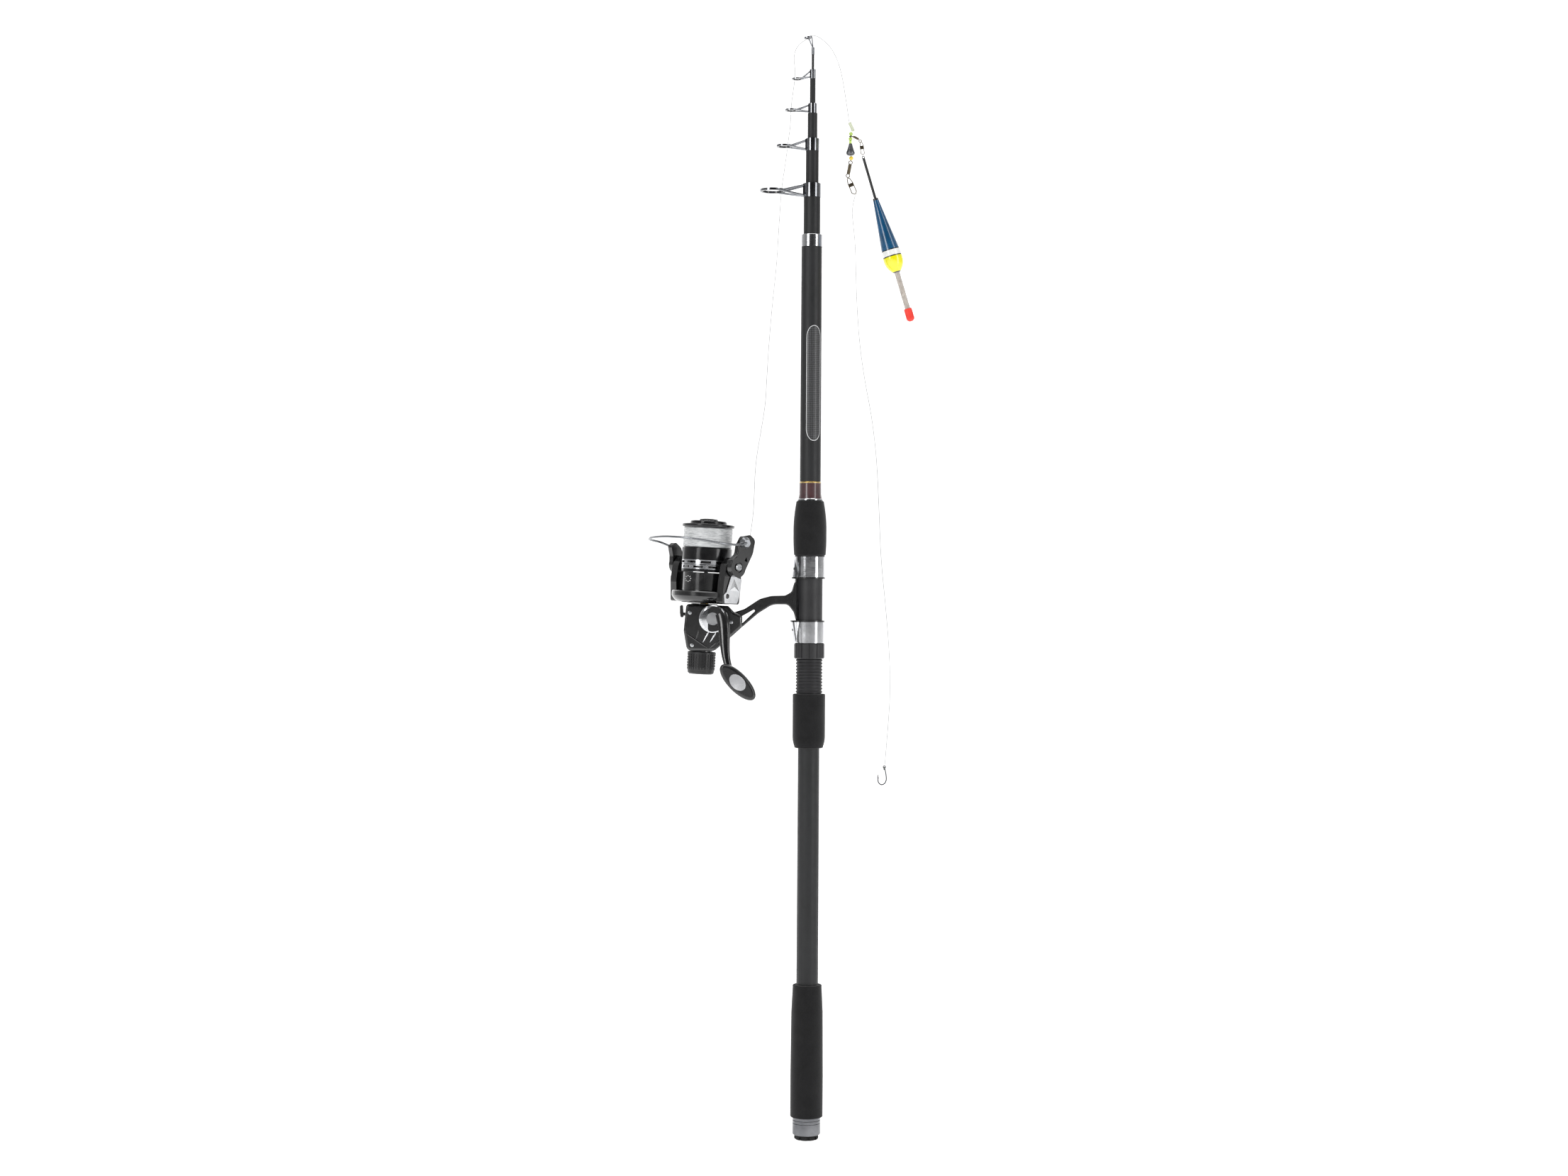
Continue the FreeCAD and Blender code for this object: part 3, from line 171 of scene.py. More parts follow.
class Paint:
    """A node-based material: one Principled shader and the textures that feed it.

    Textures use object coordinates, which are metres in the CAD frame; along() gives millimetres.
    """

    def __init__(self, name, **fixed):
        self.material = bpy.data.materials.new(name)
        self.material.use_nodes = True
        self.tree = self.material.node_tree
        self.tree.nodes.clear()
        out = self.tree.nodes.new("ShaderNodeOutputMaterial")
        self.shader = self.tree.nodes.new("ShaderNodeBsdfPrincipled")
        self.link(self.shader.outputs[0], out.inputs["Surface"])
        self.points = self.tree.nodes.new("ShaderNodeTexCoord").outputs["Object"]
        self.normal = None
        for key, value in fixed.items():
            self.shader.inputs[key.replace("_", " ")].default_value = value

    def link(self, a, b):
        self.tree.links.new(a, b)

    def put(self, socket, value):
        if hasattr(value, "links"):
            self.link(value, socket)
        else:
            socket.default_value = value

    def math(self, operation, a, b=0.0, clamp=False):
        node = self.tree.nodes.new("ShaderNodeMath")
        node.operation, node.use_clamp = operation, clamp
        self.put(node.inputs[0], a)
        self.put(node.inputs[1], b)
        return node.outputs[0]

    def along(self, axis, at=(0, 0, 0)):
        """Distance along an axis from a point, in millimetres."""
        node = self.tree.nodes.new("ShaderNodeVectorMath")
        node.operation = "DOT_PRODUCT"
        self.link(self.points, node.inputs[0])
        node.inputs[1].default_value = [c * 1000 for c in axis]
        return self.math("SUBTRACT", node.outputs["Value"], Vector(at).dot(Vector(axis)))

    def scaled(self, stretch):
        node = self.tree.nodes.new("ShaderNodeVectorMath")
        node.operation = "MULTIPLY"
        self.link(self.points, node.inputs[0])
        node.inputs[1].default_value = stretch
        return node.outputs[0]

    def noise(self, scale, detail=3.0, rough=0.55, stretch=None):
        node = self.tree.nodes.new("ShaderNodeTexNoise")
        self.link(self.scaled(stretch) if stretch else self.points, node.inputs["Vector"])
        node.inputs["Scale"].default_value = scale
        node.inputs["Detail"].default_value = detail
        node.inputs["Roughness"].default_value = rough
        return node.outputs["Fac"]

    def cells(self, scale):
        node = self.tree.nodes.new("ShaderNodeTexVoronoi")
        self.link(self.points, node.inputs["Vector"])
        node.inputs["Scale"].default_value = scale
        return node.outputs["Distance"]

    def ramp(self, factor, stops):
        node = self.tree.nodes.new("ShaderNodeValToRGB")
        self.link(factor, node.inputs["Fac"])
        marks = node.color_ramp.elements
        while len(marks) < len(stops):
            marks.new(0.5)
        for mark, (place, colour) in zip(marks, stops):
            mark.position, mark.color = place, colour
        return node.outputs["Color"]

    def remap(self, factor, low, high, source=(0.3, 0.7)):
        """Source range stretched onto low to high; noise mostly lies between 0.3 and 0.7."""
        node = self.tree.nodes.new("ShaderNodeMapRange")
        self.link(factor, node.inputs["Value"])
        node.inputs["From Min"].default_value, node.inputs["From Max"].default_value = source
        node.inputs["To Min"].default_value, node.inputs["To Max"].default_value = low, high
        return node.outputs["Result"]

    def mix(self, factor, a, b):
        """Colour a where the factor is 0, b where it is 1."""
        node = self.tree.nodes.new("ShaderNodeMix")
        node.data_type = "RGBA"
        self.put(node.inputs[0], factor)
        self.put(node.inputs[6], a)
        self.put(node.inputs[7], b)
        return node.outputs[2]

    def blend_value(self, factor, a, b):
        """The same for plain numbers."""
        node = self.tree.nodes.new("ShaderNodeMix")
        node.data_type = "FLOAT"
        self.put(node.inputs[0], factor)
        self.put(node.inputs[2], a)
        self.put(node.inputs[3], b)
        return node.outputs[0]

    def band(self, value, low, high, soft=0.05):
        """1 where value lies between low and high, with edges that soft."""
        rise = self.remap(value, 0, 1, (low - soft, low + soft))
        fall = self.remap(value, 1, 0, (high - soft, high + soft))
        return self.math("MULTIPLY", rise, fall)

    def bump(self, height, distance, strength=0.4):
        node = self.tree.nodes.new("ShaderNodeBump")
        node.inputs["Strength"].default_value = strength
        node.inputs["Distance"].default_value = distance
        self.link(height, node.inputs["Height"])
        if self.normal:
            self.link(self.normal, node.inputs["Normal"])
        self.normal = node.outputs["Normal"]

    def done(self, colour, rough, metal=None):
        self.put(self.shader.inputs["Base Color"], colour)
        self.put(self.shader.inputs["Roughness"], rough)
        if metal is not None:
            self.put(self.shader.inputs["Metallic"], metal)
        if self.normal:
            self.link(self.normal, self.shader.inputs["Normal"])
        return self.material


def moulded(name, dark, light, rough, grain=0.00004, coat=0.0, rubbed=None, coat_rough=0.12):
    """Moulded or lacquered black parts: faint mottling, fine grain, and, where asked, rub marks that lighten
    the colour.
    """
    p = Paint(name, Coat_Weight=coat, Coat_Roughness=coat_rough)
    colour = p.ramp(p.noise(60, 4), [(0.3, tint(dark)), (0.7, tint(light))])
    if rubbed:
        scratch = p.remap(p.noise(520, 2, stretch=(1, 1, 0.12)), 0, 1, (0.66, 0.74))
        colour = p.mix(p.math("MULTIPLY", scratch, 0.35), colour, tint(rubbed))
    p.bump(p.noise(900, 5, 0.7), grain, 0.35)
    return p.done(colour, p.remap(p.noise(210, 3), rough - 0.05, rough + 0.07))


def polished(name, dark, light, rough, stretch=(1, 1, 14), scratches=0.00001):
    """Polished or brushed metal: tone that wanders a little, fine turning marks, and smudges."""
    p = Paint(name, Metallic=1.0)
    colour = p.ramp(p.noise(45, 3), [(0.32, tint(dark)), (0.68, tint(light))])
    marks = p.noise(420, 3, 0.6, stretch)
    p.bump(marks, scratches, 0.22)
    smudge = p.remap(p.noise(85, 4), -0.03, 0.07)
    return p.done(colour, p.math("ADD", p.remap(marks, rough, rough + 0.05), smudge, clamp=True))


def make_blank():
    """Matte graphite blank: fine ground rings round it under a thin satin coat, and specks in the coat."""
    p = Paint("blank", Coat_Weight=0.1, Coat_Roughness=0.45, Specular_IOR_Level=0.38)
    base = p.ramp(p.noise(38, 4, stretch=(1, 1, 0.5)), [(0.3, tint("101112")), (0.7, tint("191a1c"))])
    speck = p.remap(p.cells(1500), 1, 0, (0.02, 0.14))
    colour = p.mix(p.math("MULTIPLY", speck, 0.25), base, tint("55575a"))
    rings = p.noise(700, 2, 0.5, (0.05, 0.05, 3.2))
    p.bump(rings, 0.00003, 0.3)
    p.bump(p.noise(2600, 3, 0.7), 0.00003, 0.35)
    return p.done(colour, p.remap(p.noise(150, 3), 0.44, 0.56))


def make_foam():
    """Closed-cell foam: matte black, a fine pebbled skin, pinholes darkened in the colour as painted shade,
    and a slight bloom.
    """
    p = Paint("eva_foam", Specular_IOR_Level=0.22, Sheen_Weight=0.18, Sheen_Roughness=0.5)
    cells = p.cells(1400)
    base = p.ramp(p.noise(70, 5), [(0.3, tint("101011")), (0.7, tint("1a1a1b"))])
    # painted shade: the pinholes are dark spots in the colour only, standing in for the shade inside them
    pinhole_shade = p.remap(p.cells(620), 1, 0, (0.03, 0.2))
    colour = p.mix(p.math("MULTIPLY", pinhole_shade, 0.45), base, tint("0a0a0a"))
    p.bump(cells, 0.00016, 0.5)
    p.bump(p.noise(420, 4, 0.7), 0.00018, 0.4)
    return p.done(colour, p.remap(cells, 0.82, 0.97, (0.1, 0.8)))


def make_rubber():
    p = Paint("rubber", Specular_IOR_Level=0.3)
    dust = p.remap(p.noise(260, 5), 0, 1, (0.52, 0.75))
    colour = p.mix(p.math("MULTIPLY", dust, 0.3), tint("171717"), tint("3a3937"))
    p.bump(p.noise(900, 4, 0.7), 0.00012, 0.4)
    return p.done(colour, p.remap(p.noise(120), 0.62, 0.8))


def make_winding():
    """Thread winding under clear lacquer: wine turns, a gold end band and a chrome check ring below."""
    p = Paint("winding", Coat_Weight=1.0, Coat_Roughness=0.04)
    height = p.along((0, 0, 1))
    thread = p.math("SINE", p.math("MULTIPLY", height, math.tau / WINDING_PITCH))
    wine = p.ramp(p.noise(180, 4), [(0.3, tint("35181c")), (0.7, tint("4b2428"))])
    wine = p.mix(p.remap(thread, 0, 0.35, (-1, 1)), wine, tint("2a1114"))
    gold = p.ramp(p.noise(240, 3), [(0.3, tint("a98a45")), (0.7, tint("d8bd72"))])
    is_gold = p.band(height, *GOLD_BAND, 0.04)
    p.bump(thread, 0.00005, 0.35)
    return p.done(p.mix(is_gold, wine, gold), p.blend_value(is_gold, 0.42, 0.26),
                  p.math("MULTIPLY", is_gold, 0.9))


def make_spool_finish():
    """Black anodised spool with two bright turned bands round its skirt."""
    p = Paint("spool_finish", Coat_Weight=0.35, Coat_Roughness=0.08)
    height = p.along(SPOOL_AXIS, LEAN_AT - 520 * SPOOL_AXIS)
    upper, lower = [p.band(height, *span) for span in BRIGHT_BANDS]
    bright = p.math("ADD", upper, lower, clamp=True)
    black = p.ramp(p.noise(60, 4), [(0.3, tint("0f0f10")), (0.7, tint("17171a"))])
    silver = p.ramp(p.noise(50, 3), [(0.3, tint("b4b6ba")), (0.7, tint("dfe0e3"))])
    turned = p.noise(900, 2, 0.5, (0.06, 0.06, 3.0))
    p.bump(turned, 0.00002, 0.25)
    gloss = p.remap(p.noise(190, 3), 0.16, 0.27)
    return p.done(p.mix(bright, black, silver), p.blend_value(bright, gloss, p.remap(turned, 0.14, 0.24)),
                  p.remap(bright, 0.35, 1.0, (0, 1)))


def make_wound_line():
    p = Paint("wound_line", Subsurface_Weight=0.25, Subsurface_Radius=(0.003, 0.003, 0.003),
              Coat_Weight=0.3, Coat_Roughness=0.2)
    # painted sheen: the pale grey is the line's own colour, and its streaks from mid grey to near white are
    # painted sheen off the turns; the same noise sets the roughness
    sheen_streak = p.noise(150, 4, 0.6, (1, 1, 6))
    colour = p.ramp(sheen_streak, [(0.25, tint("96989a")), (0.5, tint("bfc1c2")), (0.78, tint("dcdddd"))])
    p.bump(p.noise(500, 3, 0.6, (0.15, 0.15, 5)), 0.00005, 0.4)
    return p.done(colour, p.remap(sheen_streak, 0.2, 0.38))


def make_line_nylon():
    p = Paint("line_nylon", Transmission_Weight=0.1, IOR=1.5)
    colour = p.ramp(p.noise(90, 2), [(0.3, tint("5f6464")), (0.7, tint("7d8282"))])
    p.bump(p.noise(2500, 2), 0.00001, 0.2)
    return p.done(colour, p.remap(p.noise(300, 2), 0.18, 0.3))


def make_float_paint():
    """Sprayed bands along the float: blue, a white waist between black lines, and a yellow belly."""
    p = Paint("float_paint", Coat_Weight=0.9, Coat_Roughness=0.05)
    height = p.along(FLOAT_AXIS, FLOAT_AT)
    blue = p.ramp(p.noise(55, 4), [(0.3, tint("083c5c")), (0.7, tint("0d4f78"))])
    white = p.ramp(p.noise(80, 3), [(0.3, tint("d8d9d6")), (0.7, tint("eeeeec"))])
    yellow = p.ramp(p.noise(70, 3), [(0.3, tint("dcd800")), (0.7, tint("efe80a"))])
    black = tint("101011")
    colour = p.mix(p.band(height, *FLOAT_WAIST, 0.1), blue, white)
    belly = p.remap(height, 1, 0, (FLOAT_BELLY_TOP - 0.1, FLOAT_BELLY_TOP + 0.1))
    colour = p.mix(belly, colour, yellow)
    for low, high in FLOAT_RINGS:
        colour = p.mix(p.band(height, low, high, 0.08), colour, black)
    p.bump(p.noise(160, 2), 0.00006, 0.15)
    return p.done(colour, p.remap(p.noise(200, 4), 0.2, 0.3))


def make_clear(name, dark, light, rough=0.2, through=0.45, scatter=0.3):
    """Milky or tinted translucent plastic with faint flow marks inside."""
    p = Paint(name, Transmission_Weight=through, IOR=1.45, Subsurface_Weight=scatter,
              Subsurface_Radius=(0.004, 0.004, 0.004), Coat_Weight=0.3, Coat_Roughness=0.08)
    colour = p.ramp(p.noise(260, 4), [(0.3, tint(dark)), (0.7, tint(light))])
    p.bump(p.noise(700, 3), 0.00003, 0.2)
    return p.done(colour, p.remap(p.noise(300), rough, rough + 0.12))


def make_weave():
    """Dark printed weave inside the label: small squares on the slant, alternately matte black and grey."""
    p = Paint("label_weave", Coat_Weight=0.3, Coat_Roughness=0.3)
    across = p.math("MULTIPLY", p.math("ARCTAN2", p.along((1, 0, 0)), p.along((0, -1, 0))), 9.85)
    up = p.along((0, 0, 1))
    step = math.pi / 1.75
    grid = p.math("MULTIPLY", p.math("SINE", p.math("MULTIPLY", p.math("ADD", across, up), step)),
                  p.math("SINE", p.math("MULTIPLY", p.math("SUBTRACT", across, up), step)))
    light = p.remap(grid, 0, 1, (-0.12, 0.12))
    grey = p.ramp(p.noise(700, 2), [(0.3, tint("3c3d3f")), (0.7, tint("4d4e50"))])
    p.bump(grid, 0.00003, 0.3)
    return p.done(p.mix(light, tint("131314"), grey), p.remap(light, 0.55, 0.38, (0, 1)))


def make_lead():
    p = Paint("lead", Metallic=0.85)
    colour = p.ramp(p.noise(350, 5), [(0.3, tint("4a4b4e")), (0.7, tint("77787b"))])
    p.bump(p.noise(600, 5, 0.65), 0.00015, 0.5)
    return p.done(colour, p.remap(p.noise(420, 4), 0.24, 0.5))


# ------------------------------------------------------------------ mesh helpers
def smooth(obj):
    for polygon in obj.data.polygons:
        polygon.use_smooth = True
    return obj


def add_mesh(name, verts, faces, material, body, shade=True):
    """A piece from vertices in millimetres, riding on a body."""
    mesh = bpy.data.meshes.new(name)
    mesh.from_pydata([tuple(Vector(v) * MM) for v in verts], [], faces)
    mesh.materials.append(material)
    mesh.validate()
    bm = bmesh.new()
    bm.from_mesh(mesh)
    bmesh.ops.remove_doubles(bm, verts=bm.verts, dist=1e-7)
    bmesh.ops.recalc_face_normals(bm, faces=bm.faces)
    bm.to_mesh(mesh)
    bm.free()
    obj = bpy.data.objects.new(name, mesh)
    scene.collection.objects.link(obj)
    if shade:
        smooth(obj)
    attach(obj, body)
    return obj


def grid_faces(rows, columns, wrap=False, start=0):
    last = columns if wrap else columns - 1
    return [(start + r * columns + c, start + r * columns + (c + 1) % columns,
             start + (r + 1) * columns + (c + 1) % columns, start + (r + 1) * columns + c)
            for r in range(rows - 1) for c in range(last)]


def on_spool(x, y, s):
    """A point of the upright spool's own frame, leant to where the spool stands."""
    return LEAN_AT + Vector((x * math.cos(SPOOL_LEAN) + (s - 520) * math.sin(SPOOL_LEAN), y,
                             -x * math.sin(SPOOL_LEAN) + (s - 520) * math.cos(SPOOL_LEAN)))


def surface(node):
    """The CAD node's surface, for laying small details on it."""
    mesh = nodes[node].data
    return BVHTree.FromPolygons([v.co / MM for v in mesh.vertices], [p.vertices[:] for p in mesh.polygons])


def front(tree, x, z):
    """The point of a surface that faces -Y at x, z, and its normal."""
    at, normal, _, _ = tree.ray_cast(Vector((x, -200, z)), Vector((0, 1, 0)))
    if at is None:
        return None, None
    return at, normal if normal.y < 0 else -normal


# ------------------------------------------------------------------ pieces
def label_point(across, up, lift):
    """A point on the blank's front, by its arc distance from the label's middle and its height."""
    share = (up - BLANK_SPAN[0]) / (BLANK_SPAN[1] - BLANK_SPAN[0])
    radius = BLANK_R[0] + (BLANK_R[1] - BLANK_R[0]) * share + lift
    angle = LABEL_TURN + across / radius
    return (radius * math.sin(angle), -radius * math.cos(angle), up)


def make_label(weave, pale):
    """The printed panel on the handle: a woven field inside a pale outline with round ends."""
    half_w, half_h, middle, line_w = 7.7, 54.85, 718.65, 0.62
    end_h = half_w * 1.55                           # height of each rounded end
    outline = []
    for k in range(160):
        t = math.tau * k / 160
        c, s = math.cos(t), math.sin(t)
        outline.append((c, s, (half_h - end_h) * (1 if s > 0 else -1)))

    def ring(inset, lift):
        return [label_point((half_w - inset) * c, middle + off + (end_h - inset) * s, lift)
                for c, s, off in outline]
    count = len(outline)
    profile = ring(0, -0.05) + ring(0.05, 0.07) + ring(line_w - 0.05, 0.07) + ring(line_w, -0.05)
    add_mesh("label_outline", profile, grid_faces(4, count, wrap=True), pale, "root")
    rows, columns = 121, 25
    verts = []
    for r in range(rows):
        up = -1 + 2 * r / (rows - 1)
        z = up * (half_h - 0.3)
        over = max(0.0, abs(z) - (half_h - end_h)) / end_h
        wide = (half_w - 0.3) * math.sqrt(max(0.0, 1 - over * over))
        verts += [label_point(wide * (2 * c / (columns - 1) - 1), middle + z, 0.035) for c in range(columns)]
    add_mesh("label_field", verts, grid_faces(rows, columns), weave, "root")


def make_wound_pack(material):
    """The wound line: each turn stands out, turns dip and cross a little, and the ends roll in."""
    low, high = WOUND_SPAN
    rows, columns = 176, 216
    rng = np.random.default_rng(11)
    waves = [(rng.uniform(2, 9), rng.uniform(0.15, 0.5), rng.uniform(0, math.tau)) for _ in range(7)]
    verts = []
    for r in range(rows):
        share = r / (rows - 1)
        s = low + (high - low) * share
        edge = min(share, 1 - share) * (high - low)
        roll = 0.9 * max(0.0, 1 - edge / 1.1) ** 2
        for c in range(columns):
            a = math.tau * c / columns
            lay = s + 0.45 * math.sin(a) + 0.22 * math.sin(2 * a + 1.1)
            turn = abs(math.sin(math.pi * lay / TURN))
            swell = sum(math.sin(n * a + f * s + h) for n, f, h in waves) * 0.025
            r_here = WOUND_R - roll + 0.13 * (turn - 0.6) + swell - 0.02 * (high - s) * 0.3
            verts.append(on_spool(r_here * math.cos(a), r_here * math.sin(a), s))
    faces = grid_faces(rows, columns, wrap=True)
    for s, row, flip in ((low, 0, 1), (high, rows - 1, 0)):
        start = len(verts)
        angles = [math.tau * c / columns for c in range(columns)]
        verts += [on_spool(CORE_R * math.cos(a), CORE_R * math.sin(a), s) for a in angles]
        for c in range(columns):
            beside = (c + 1) % columns
            quad = (row * columns + c, row * columns + beside, start + beside, start + c)
            faces.append(quad if flip else quad[::-1])
    inner = len(verts) - 2 * columns
    faces += [(inner + c, inner + (c + 1) % columns, inner + columns + (c + 1) % columns, inner + columns + c)
              for c in range(columns)]
    pack = add_mesh("wound_pack", verts, faces, material, "spool")
    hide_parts("line_pack")


def strip_on(tree, name, ends, widths, lift, material, body):
    """A thin inlay laid over a surface from one front point to another."""
    (x0, z0), (x1, z1) = ends
    side = Vector((-(z1 - z0), 0, x1 - x0)).normalized()
    steps, verts = 12, []
    for k in range(steps + 1):
        t = k / steps
        half = (widths[0] * (1 - t) + widths[1] * t) / 2 * min(1.0, 4 * t + 0.15, 4 * (1 - t) + 0.15)
        for across, up in ((-1, -0.1), (-0.8, lift), (0.8, lift), (1, -0.1)):
            x, z = x0 + (x1 - x0) * t + side.x * half * across, z0 + (z1 - z0) * t + side.z * half * across
            at, normal = front(tree, x, z)
            if at is None:
                return
            verts.append(at + Vector((0, -up, 0)))
    add_mesh(name, verts, grid_faces(steps + 1, 4), material, body)


def dots_on(tree, name, spots, radius, height, material, body):
    """Small round-topped dots laid on a surface and sunk 0.05 mm into it."""
    verts, faces = [], []
    for x, z in spots:
        at, normal = front(tree, x, z)
        if at is None:
            continue
        turn = normal.to_track_quat("Z", "Y").to_matrix()
        start, ring_n, rings = len(verts), 16, ((1.0, -0.05), (0.95, height * 0.6), (0.7, height))
        for share, up in rings:
            verts += [at + turn @ Vector((radius * share * math.cos(math.tau * k / ring_n),
                                          radius * share * math.sin(math.tau * k / ring_n), up))
                      for k in range(ring_n)]
        faces += grid_faces(len(rings), ring_n, wrap=True, start=start)
        faces.append(tuple(start + 2 * ring_n + k for k in range(ring_n)))
    if verts:
        add_mesh(name, verts, faces, material, body)


def screws_on(tree, name, spots, material, body):
    """Pan-head screws on a surface, each a domed head with a cross recess pressed into it."""
    verts, faces = [], []
    rings, spokes = 9, 48
    for x, z, radius, turned in spots:
        at, normal = front(tree, x, z)
        if at is None:
            continue
        turn = normal.to_track_quat("Z", "Y").to_matrix()
        start = len(verts)
        for r in range(rings + 1):
            share = r / rings
            for k in range(spokes):
                a = math.tau * k / spokes
                u, v = radius * share * math.cos(a), radius * share * math.sin(a)
                c, s = math.cos(turned), math.sin(turned)
                across, up = abs(u * c + v * s), abs(v * c - u * s)
                pressed = min(across, up) < radius * 0.15 and max(across, up) < radius * 0.62
                height = 0.75 - 0.35 * share * share - (0.45 if pressed else 0) if r < rings else -0.1
                verts.append(at + turn @ Vector((u, v, height)))
        faces += grid_faces(rings + 1, spokes, wrap=True, start=start)
    add_mesh(name, verts, faces, material, body, shade=False)


def facet_on(tree, name, corners, lift, material, body):
    """A low pyramid on a flat plate, so that each of its sides catches the light differently."""
    spots = [front(tree, x, z) for x, z in corners]
    if any(at is None for at, _ in spots):
        return
    normal = spots[0][1]
    base = [at - normal * 0.03 for at, _ in spots]
    top = sum((at for at, _ in spots), Vector()) / len(spots) + normal * lift
    count = len(base)
    add_mesh(name, base + [top], [(k, (k + 1) % count, count) for k in range(count)], material, body,
             shade=False)


def make_details(mats):
    body, rotor, plate = surface("reel_body"), surface("rotor"), surface("rotor_plates")
    facet_on(plate, "plate_facet_upper", [(-71.4, 533.6), (-75.6, 521.0), (-66.2, 519.6)], 0.22,
             mats["silver"], "rotor")
    facet_on(plate, "plate_facet_lower", [(-74.0, 519.6), (-71.6, 512.4), (-66.6, 512.6), (-65.9, 518.0)],
             0.22, mats["silver"], "rotor")
    strip_on(plate, "plate_inlay", ((-77.6, 513.4), (-77.2, 518.2)), (3.2, 3.2), 0.2, mats["black_gloss"],
             "rotor")
    for k, ends in enumerate([((-95.4, 482.0), (-101.0, 471.9)), ((-88.2, 482.0), (-94.2, 472.0))]):
        strip_on(body, f"body_slash_{k + 1}", ends, (1.5, 0.9), 0.12, mats["silver"], "root")
    ridges = [((-117.4, 481.0), (-95.2, 466.0)), ((-95.2, 466.0), (-74.6, 481.6)),
              ((-104.6, 484.0), (-107.6, 474.6))]
    for k, ends in enumerate(ridges):
        strip_on(body, f"body_ridge_{k + 1}", ends, (1.6, 1.6), 0.55, mats["reel"], "root")
    screws_on(body, "front_screws", [(-113.2, 500.2, 2.0, 0.5), (-74.0, 491.4, 1.8, 0.2),
                                     (-111.0, 469.4, 1.9, 1.0)], mats["steel"], "root")
    turns = [math.tau * k / 36 for k in range(36) if k % 9 not in (0, 4)]
    ticks = [(CRANK_AT[0] + 11.2 * math.cos(a), CRANK_AT[1] + 11.2 * math.sin(a)) for a in turns]
    dots_on(surface("crank_hub"), "hub_marks", ticks, 0.32, 0.05, mats["black_gloss"], "crank")
    turns = [math.tau * k / 8 for k in range(8)]
    ring = [(-115.2 + 2.6 * math.sin(a), 532.4 + 2.6 * math.cos(a)) for a in turns]
    dots_on(rotor, "rotor_dots", ring, 0.62, 0.06, mats["print"], "rotor")
    dots_on(surface("fixed_hood"), "fixed_hood_dot", [(-14.9, 542.4)], 1.3, 0.25, mats["black_gloss"],
            "root")
    dots_on(surface("moving_hood"), "moving_hood_dot", [(-16.1, 484.2)], 1.3, 0.25, mats["black_gloss"],
            "moving_hood")


def make_whipping(material):
    """The snell that ties the leader to the hook: close turns round the shank under its spade end."""
    top, turns, pitch, radius = 354.2, 7, 0.42, 0.72
    data = bpy.data.curves.new("hook_whipping", "CURVE")
    data.dimensions, data.bevel_depth, data.bevel_resolution = "3D", 0.2 * MM, 2
    data.use_fill_caps = True
    spline = data.splines.new("POLY")
    steps = turns * 14
    centre = shank_centre()
    spline.points.add(steps)
    for k in range(steps + 1):
        a = math.tau * k / 14
        z = top - pitch * k / 14
        x, y = centre[0] + radius * math.cos(a), centre[1] + radius * math.sin(a)
        spline.points[k].co = (x * MM, y * MM, z * MM, 1)
    obj = bpy.data.objects.new("hook_whipping", data)
    scene.collection.objects.link(obj)
    data.materials.append(material)
    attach(obj, "section_6")


def shank_centre():
    """Middle of the hook's shank where the snell sits."""
    near = [v.co / MM for v in nodes["hook"].data.vertices if 350 < v.co.z / MM < 354]
    xs, ys = [v.x for v in near], [v.y for v in near]
    return (min(xs) + max(xs)) / 2, (min(ys) + max(ys)) / 2


# ------------------------------------------------------------------ materials onto the CAD nodes
def cover(node, *materials):
    """Gives a CAD node these materials in place of its own."""
    slots = nodes[node].data.materials
    slots.clear()
    for material in materials:
        slots.append(material)


def split(node, rule, first, second):
    """Two finishes on one node: faces whose middle, in millimetres, meets the rule take the second."""
    cover(node, first, second)
    mesh = nodes[node].data
    centres = np.empty(len(mesh.polygons) * 3, np.float32)
    mesh.polygons.foreach_get("center", centres)
    chosen = rule(*(centres.reshape(-1, 3).T * 1000)).astype(np.int32)
    mesh.polygons.foreach_set("material_index", chosen)


def along_float(x, z):
    return (x - FLOAT_AT.x) * FLOAT_AXIS.x + (z - FLOAT_AT.z) * FLOAT_AXIS.z


